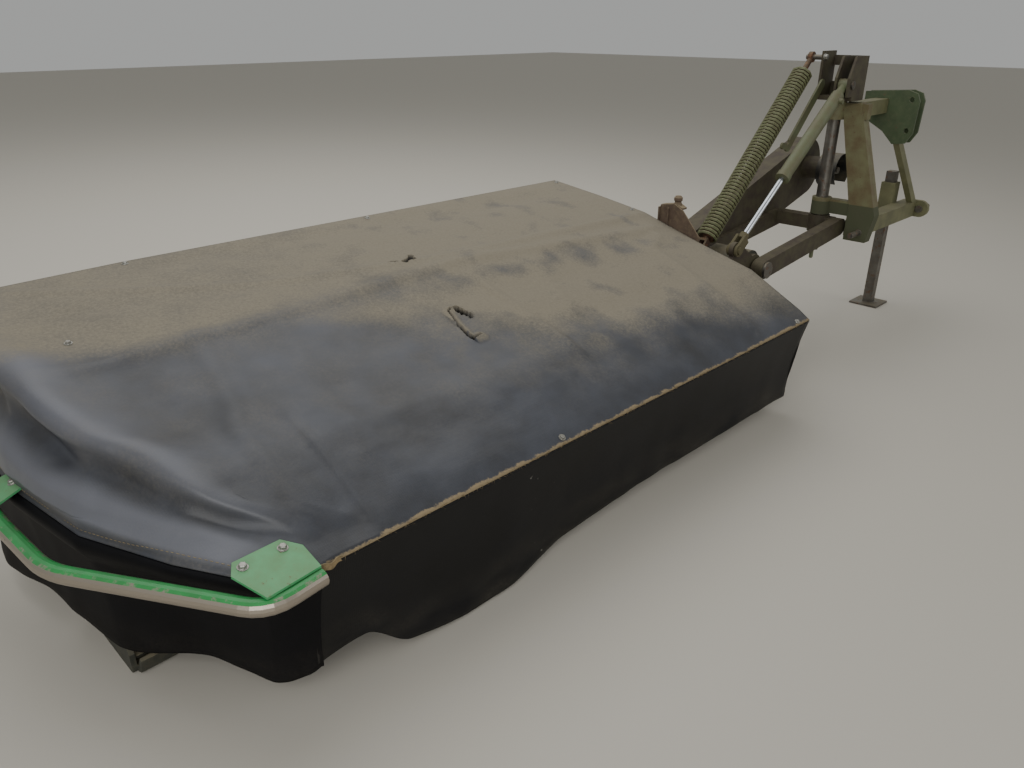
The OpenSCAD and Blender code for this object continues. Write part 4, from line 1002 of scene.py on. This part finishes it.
def turned(shape: bmesh.types.BMesh, at: Vector, out: Vector, steps: tuple[tuple[float, float, float, float], ...],
           sides: int = 24) -> None:
    """Stack turned lengths on a surface.

    Args:
        shape: The mesh they join.
        at: Where their axis meets the surface.
        out: The surface's outward direction.
        steps: For each length its two radii and how far its two ends stand off the surface.
        sides: Its number of sides.
    """
    for near, far, start, end in steps:
        cone(shape, at, out, (near, far), (start, end), sides)


@dataclass
class CoverTrim:
    """What is sewn and bolted to the cover: its stitches, frayed edge, torn strap, stop plates and bolts."""

    shape: CoverShape
    skin: Surface
    brackets: Surface
    thick: float = 0.003
    # The hem's rows before and behind its corner, its columns, and the gap in its thread at that corner
    hem_rows: tuple[float, float] = (4.30, 4.12)
    hem_turns: float = 3.2
    hem_start: float = 0.8
    hem_run: float = 4.1
    hem_gap: tuple[float, float] = (3.18, 3.42)
    stitch_apart: float = 0.0125
    stitch_half: float = 0.0052
    fibres: int = 420
    strap_long: float = 0.058
    strap_from: Point = (3.742, 0.286, 0.434)
    strap_thick: float = 0.002
    # The yoke stop's gusset and cap, as corners behind the front edge and above the floor, and where they stand
    gusset: Line = ((0.775, 0.650), (0.775, 0.776), (0.700, 0.790), (0.655, 0.768), (0.560, 0.664), (0.560, 0.620),
                    (0.700, 0.620))
    gusset_x: tuple[float, float] = (1.4240, 1.4317)
    cap: Line = ((0.779, 0.7702), (0.779, 0.7782), (0.700, 0.7922), (0.664, 0.7750), (0.664, 0.7670), (0.700, 0.7842))
    cap_x: tuple[float, float] = (1.3860, 1.4239)
    knob_foot: Point = (1.405, 0.700, 0.784)
    cloth_bolts: tuple[Point, ...] = (
        (3.890, 0.928, 0.745), (2.921, 0.018, 0.442), (1.528, 0.014, 0.440), (1.475, 0.900, 0.745),
        (1.475, 1.370, 0.805), (2.596, 1.380, 0.805), (3.556, 1.380, 0.805))
    bracket_bolts: tuple[Point, ...] = ((3.783, 0.070, 0.475), (3.880, 0.066, 0.480), (4.124, 0.795, 0.475))

    def stitches(self) -> bpy.types.Object:
        """Sew the hem along the outer end.

        Returns:
            The stitches.
        """
        shape = bmesh.new()
        before, behind = self.hem_rows
        gap_start, gap_end = self.hem_gap
        shares = [self.hem_start + self.hem_run * n / 600 for n in range(601)]
        run = [place(*self.shape.taut(before if v < self.hem_turns else behind, v))
               for v in shares if not gap_start < v < gap_end]
        gone = 0.0
        for a, b in zip(run, run[1:]):
            step = (b - a).length
            gone += step
            if gone < self.stitch_apart or step > 0.02:
                continue
            gone = 0.0
            at, _ = self.skin.seat(b, Vector((1.0, 0.4, 0.3)), self.thick / 2 + 0.0004)
            lay = (b - a).normalized().to_track_quat("X", "Z").to_matrix().to_4x4()
            lay = Matrix.Translation(at) @ lay @ Matrix.Diagonal((1, 0.16, 0.16, 1))
            bmesh.ops.create_icosphere(shape, subdivisions=1, radius=self.stitch_half, matrix=lay)
        return finished("hem_stitches", shape, SEWING_THREAD, "cutter_unit")

    def frays(self) -> bpy.types.Object:
        """Pull fibres from the rubbed front edge.

        Returns:
            The fibres.
        """
        chance = random.Random(11)
        shape = bmesh.new()
        for _ in range(self.fibres):
            x = 1.46 + 2.24 * chance.random()
            at, _ = self.skin.seat(place(x, 0.004 * chance.random(), 0.430), Vector((0, 1, 1)), self.thick / 2)
            reach = Vector((chance.uniform(-1, 1), chance.uniform(0.1, 0.7), chance.uniform(-0.7, 0.4))).normalized()
            reach *= chance.uniform(0.004, 0.016)
            wide = Vector((0.0006, 0, 0.0004))
            corners = (at - wide, at + wide, at + reach * 0.6 + wide * 0.7 + UP * 0.001, at + reach)
            shape.faces.new([shape.verts.new(corner) for corner in corners])
        return finished("frayed_fibres", shape, BARE_FIBRE, "cutter_unit")

    def strap(self) -> bpy.types.Object:
        """Leave the torn end of a webbing strap at the front corner.

        Returns:
            The strap's end.
        """
        shape = bmesh.new()
        bmesh.ops.create_grid(shape, x_segments=14, y_segments=4, size=1.0)
        x, y, h = self.strap_from
        for vert in shape.verts:
            far, side = (1 - vert.co.x) / 2, vert.co.y
            torn = 0.006 * noise.noise(Vector((side * 3, 1.7, 0.2))) if far > 0.99 else 0.0
            half = 0.010 - 0.003 * far
            vert.co = Vector((x - self.strap_long * far + torn, y + 0.004 * math.sin(far * 5),
                              FLOOR_Z + h - 0.004 * far + side * half + 0.003 * math.sin(far * 9)))
        made = finished("torn_strap", shape, BARE_FIBRE, "cutter_unit")
        walls = made.modifiers.new("thickness", "SOLIDIFY")
        walls.thickness = self.strap_thick
        return made

    def stop(self) -> bpy.types.Object:
        """Close the yoke stop with its gusset and cap, and stand its rubbing knob on it.

        Returns:
            The stop's plates and knob.
        """
        shape = bmesh.new()
        for corners, (x0, x1) in ((self.gusset, self.gusset_x), (self.cap, self.cap_x)):
            side = shape.faces.new([shape.verts.new(place(x0, w, h)) for w, h in corners])
            grown = bmesh.ops.extrude_face_region(shape, geom=[side])["geom"]
            ends = [e for e in grown if isinstance(e, bmesh.types.BMVert)]
            bmesh.ops.translate(shape, verts=ends, vec=(x1 - x0, 0, 0))
        bmesh.ops.recalc_face_normals(shape, faces=shape.faces)
        bmesh.ops.bevel(shape, geom=list(shape.edges), offset=0.0012, segments=2, affect="EDGES")
        turned(shape, place(*self.knob_foot), UP, ((0.021, 0.014, -0.004, 0.014), (0.014, 0.019, 0.014, 0.020),
                                                   (0.019, 0.019, 0.020, 0.032), (0.019, 0.012, 0.032, 0.040)))
        return finished("stop_plates", shape, DUSTY_PLATE, "cutter_unit")

    def bolts(self) -> bpy.types.Object:
        """Bolt the cloth down along its edges and to the tube's brackets.

        Returns:
            The bolts.
        """
        shape = bmesh.new()
        for n, spot in enumerate(self.cloth_bolts):
            at, out = self.skin.seat(place(*spot), UP, self.thick / 2)
            Bolt(across=0.013, head=0.005, washer=0.011).add(shape, at, out, n * 0.7)
        for n, spot in enumerate(self.bracket_bolts):
            at, out = self.brackets.seat(place(*spot), UP)
            Bolt(across=0.016, head=0.007, washer=0.0125).add(shape, at, out, n * 0.9)
        return finished("cover_bolts", shape, ZINC_BOLT, "cutter_unit")

    def build(self) -> list[bpy.types.Object]:
        """Make every piece of trim.

        Returns:
            The pieces.
        """
        return [self.stitches(), self.frays(), self.strap(), self.stop(), self.bolts()]


@dataclass(frozen=True)
class HitchTrim:
    """What is bolted to the hitch: a bolt on the mast head, and the locking peg under the front carrier arm."""

    head_spot: Point = (0.456, -0.2905, 0.203)
    peg_spot: Point = (0.650, -0.1175, -0.652)
    peg_steps: tuple[tuple[float, float, float, float], ...] = (
        (0.014, 0.014, -0.012, 0.010), (0.0095, 0.0095, 0.010, 0.058), (0.0095, 0.006, 0.058, 0.063))

    def build(self) -> list[bpy.types.Object]:
        """Make the bolt and the peg.

        Returns:
            The pieces.
        """
        head = bmesh.new()
        Bolt(across=0.024, head=0.013, washer=0.017).add(head, Vector(self.head_spot), Vector((0, 1, 0)))
        peg = bmesh.new()
        turned(peg, Vector(self.peg_spot), -UP, self.peg_steps)
        return [finished("mast_bolt", head, ZINC_BOLT, "swing_frame"),
                finished("locking_peg", peg, RUBBED_ENAMEL, "swing_frame")]


@dataclass(frozen=True)
class FloatSpring:
    """The float spring and its eyes, copied to pieces that ride on the spring's body."""

    top: Point = (0.430, -0.370, 0.200)
    run: Point = (0.843, 0.0, -0.805)
    folded_share: float = 0.852

    def build(self, nodes: dict[str, bpy.types.Object]) -> list[bpy.types.Object]:
        """Stand a copied piece in for each of the spring's CAD nodes, which are hidden.

        Args:
            nodes: The frame's dressed nodes by name.

        Returns:
            The pieces.
        """
        made = []
        for name, slot in (("float_spring", Slot.SPRING), ("spring_ends", Slot.RUST)):
            mesh = nodes[name].data.copy()
            mesh.transform(nodes[name].matrix_world)
            piece = stand(name + "_closing", mesh)
            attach(piece, "float_spring")
            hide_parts(name)
            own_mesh(piece)
            made.append(piece)
        return made


@dataclass
class Frame:
    """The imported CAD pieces, each dressed in its finish."""

    finishes: tuple[tuple[Weathered, str], ...] = (
        (OLIVE_ENAMEL, "cross_beam top_beam left_leg inner_end_plate support_beam cover_frame swath_board"),
        (PILLAR_ENAMEL, "right_pillar"),
        (RUBBED_ENAMEL, "transport_lock lift_barrel"),
        (GRIMY_ENAMEL, "mast_head carrier_head carrier_arm carrier_rear_arm belt_guard belt_guard_lid hinge_yoke"),
        (GREEN_ENAMEL, "bumper_brackets"),
        (CHAFED_ENAMEL, "bumper_tube"),
        (PLATE_ENAMEL, "top_link_bracket"),
        (SCOURED_STEEL, "hitch_pins parking_stand kingpin mast_pins hinge_pin pto_shaft yoke_pins"),
        (SCOURED_STEEL, "inner_shoe skid_shoes disc_1 disc_2 disc_3 disc_4 disc_5 disc_6"),
        (CAST_IRON, "gearbox cutterbar outer_shoe"),
        (HARD_CHROME, "lift_rod"),
        (SPRING_WIRE, "float_spring"),
        (RUSTY_PLATE, "spring_ends"),
        (DUSTY_PLATE, "yoke_stop"),
        (BLACK_PLASTIC, "pto_shield cover front_curtain inner_curtain outer_curtain"),
    )

    def dress(self, nodes: dict[str, bpy.types.Object]) -> None:
        """Give every CAD node its finish.

        Args:
            nodes: The frame's nodes by name.
        """
        for finish, names in self.finishes:
            for name in names.split():
                nodes[name].data.materials.clear()
                nodes[name].data.materials.append(finish.material())
                log.info("dressed %s", name)


@dataclass(frozen=True)
class Lamp:
    """One soft square light: its centre, the direction it shines in, its side and its power in watts."""

    name: str
    where: Point
    towards: Point
    side: float
    power: float

    def hang(self) -> None:
        """Hang the light."""
        lamp = bpy.data.lights.new(self.name, "AREA")
        lamp.size = self.side
        lamp.energy = self.power
        made = stand(self.name, lamp)
        made.location = self.where
        made.rotation_mode = "QUATERNION"
        made.rotation_quaternion = Vector(self.towards).to_track_quat("-Z", "Y")


@dataclass
class Studio:
    """Camera at the photograph's place, pale floor and soft light."""

    eye: Point = (4.45, 1.60, 0.36)
    heading: tuple[float, float] = (-0.704, -0.710)
    pitch_deg: float = 24.4
    lens_mm: float = 28.125
    floor_half: float = 30.0
    floor_colour: str = "#b9b4a9"
    floor_roughness: float = 0.75
    room_colour: str = "#d9dad8"
    room_strength: float = 0.55
    lamps: tuple[Lamp, ...] = (
        Lamp("ceiling", (1.63, -3.70, 3.83), (0.12, -0.35, -1.0), 7.5, 266.0),
        Lamp("front", (6.4, 3.2, 1.6), (-0.75, -0.55, -0.4), 4.0, 150.0),
        Lamp("window", (-1.5, 4.5, 2.0), (0.45, -0.7, -0.4), 3.0, 45.0),
    )

    def build(self) -> None:
        """Make the camera, the floor and the lights."""
        self.stand_camera()
        self.lay_floor()
        for lamp in self.lamps:
            lamp.hang()
        world = bpy.data.worlds.new("room")
        world.use_nodes = True
        background = world.node_tree.nodes["Background"]
        background.inputs["Color"].default_value = linear(self.room_colour)
        background.inputs["Strength"].default_value = self.room_strength
        bpy.context.scene.world = world

    def stand_camera(self) -> None:
        """Stand the camera where the photograph was taken from."""
        tilt = math.radians(self.pitch_deg)
        look = Vector((self.heading[0] * math.cos(tilt), self.heading[1] * math.cos(tilt), -math.sin(tilt)))
        camera = stand("camera", bpy.data.cameras.new("camera"))
        camera.data.lens = self.lens_mm
        camera.data.clip_start = 0.05
        camera.data.dof.use_dof = False
        camera.location = self.eye
        camera.rotation_mode = "QUATERNION"
        camera.rotation_quaternion = look.to_track_quat("-Z", "Y")
        bpy.context.scene.camera = camera

    def lay_floor(self) -> None:
        """Lay the pale floor under the machine."""
        shape = bmesh.new()
        bmesh.ops.create_grid(shape, x_segments=1, y_segments=1, size=self.floor_half)
        bmesh.ops.translate(shape, verts=shape.verts, vec=(0, 0, FLOOR_Z))
        mesh = bpy.data.meshes.new("floor")
        shape.to_mesh(mesh)
        shape.free()
        floor = stand("floor", mesh)
        slab = bpy.data.materials.new("pale floor")
        slab.use_nodes = True
        shader = slab.node_tree.nodes["Principled BSDF"]
        shader.inputs["Base Color"].default_value = linear(self.floor_colour)
        shader.inputs["Roughness"].default_value = self.floor_roughness
        mesh.materials.append(slab)


def main() -> None:
    """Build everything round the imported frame, in order."""
    logging.basicConfig(level=logging.INFO, format="%(message)s")
    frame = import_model()
    Studio().build()
    Frame().dress(frame["nodes"])
    cover = Cover()
    cloth = cover.build()
    trim = CoverTrim(cover.shape, Surface(cloth), Surface(frame["nodes"]["bumper_brackets"]))
    for made in trim.build() + HitchTrim().build() + FloatSpring().build(frame["nodes"]):
        log.info("fitted %s", made.name)
    for curtain in curtains():
        log.info("hung %s", curtain.build().name)


if __name__ == "__main__":
    main()
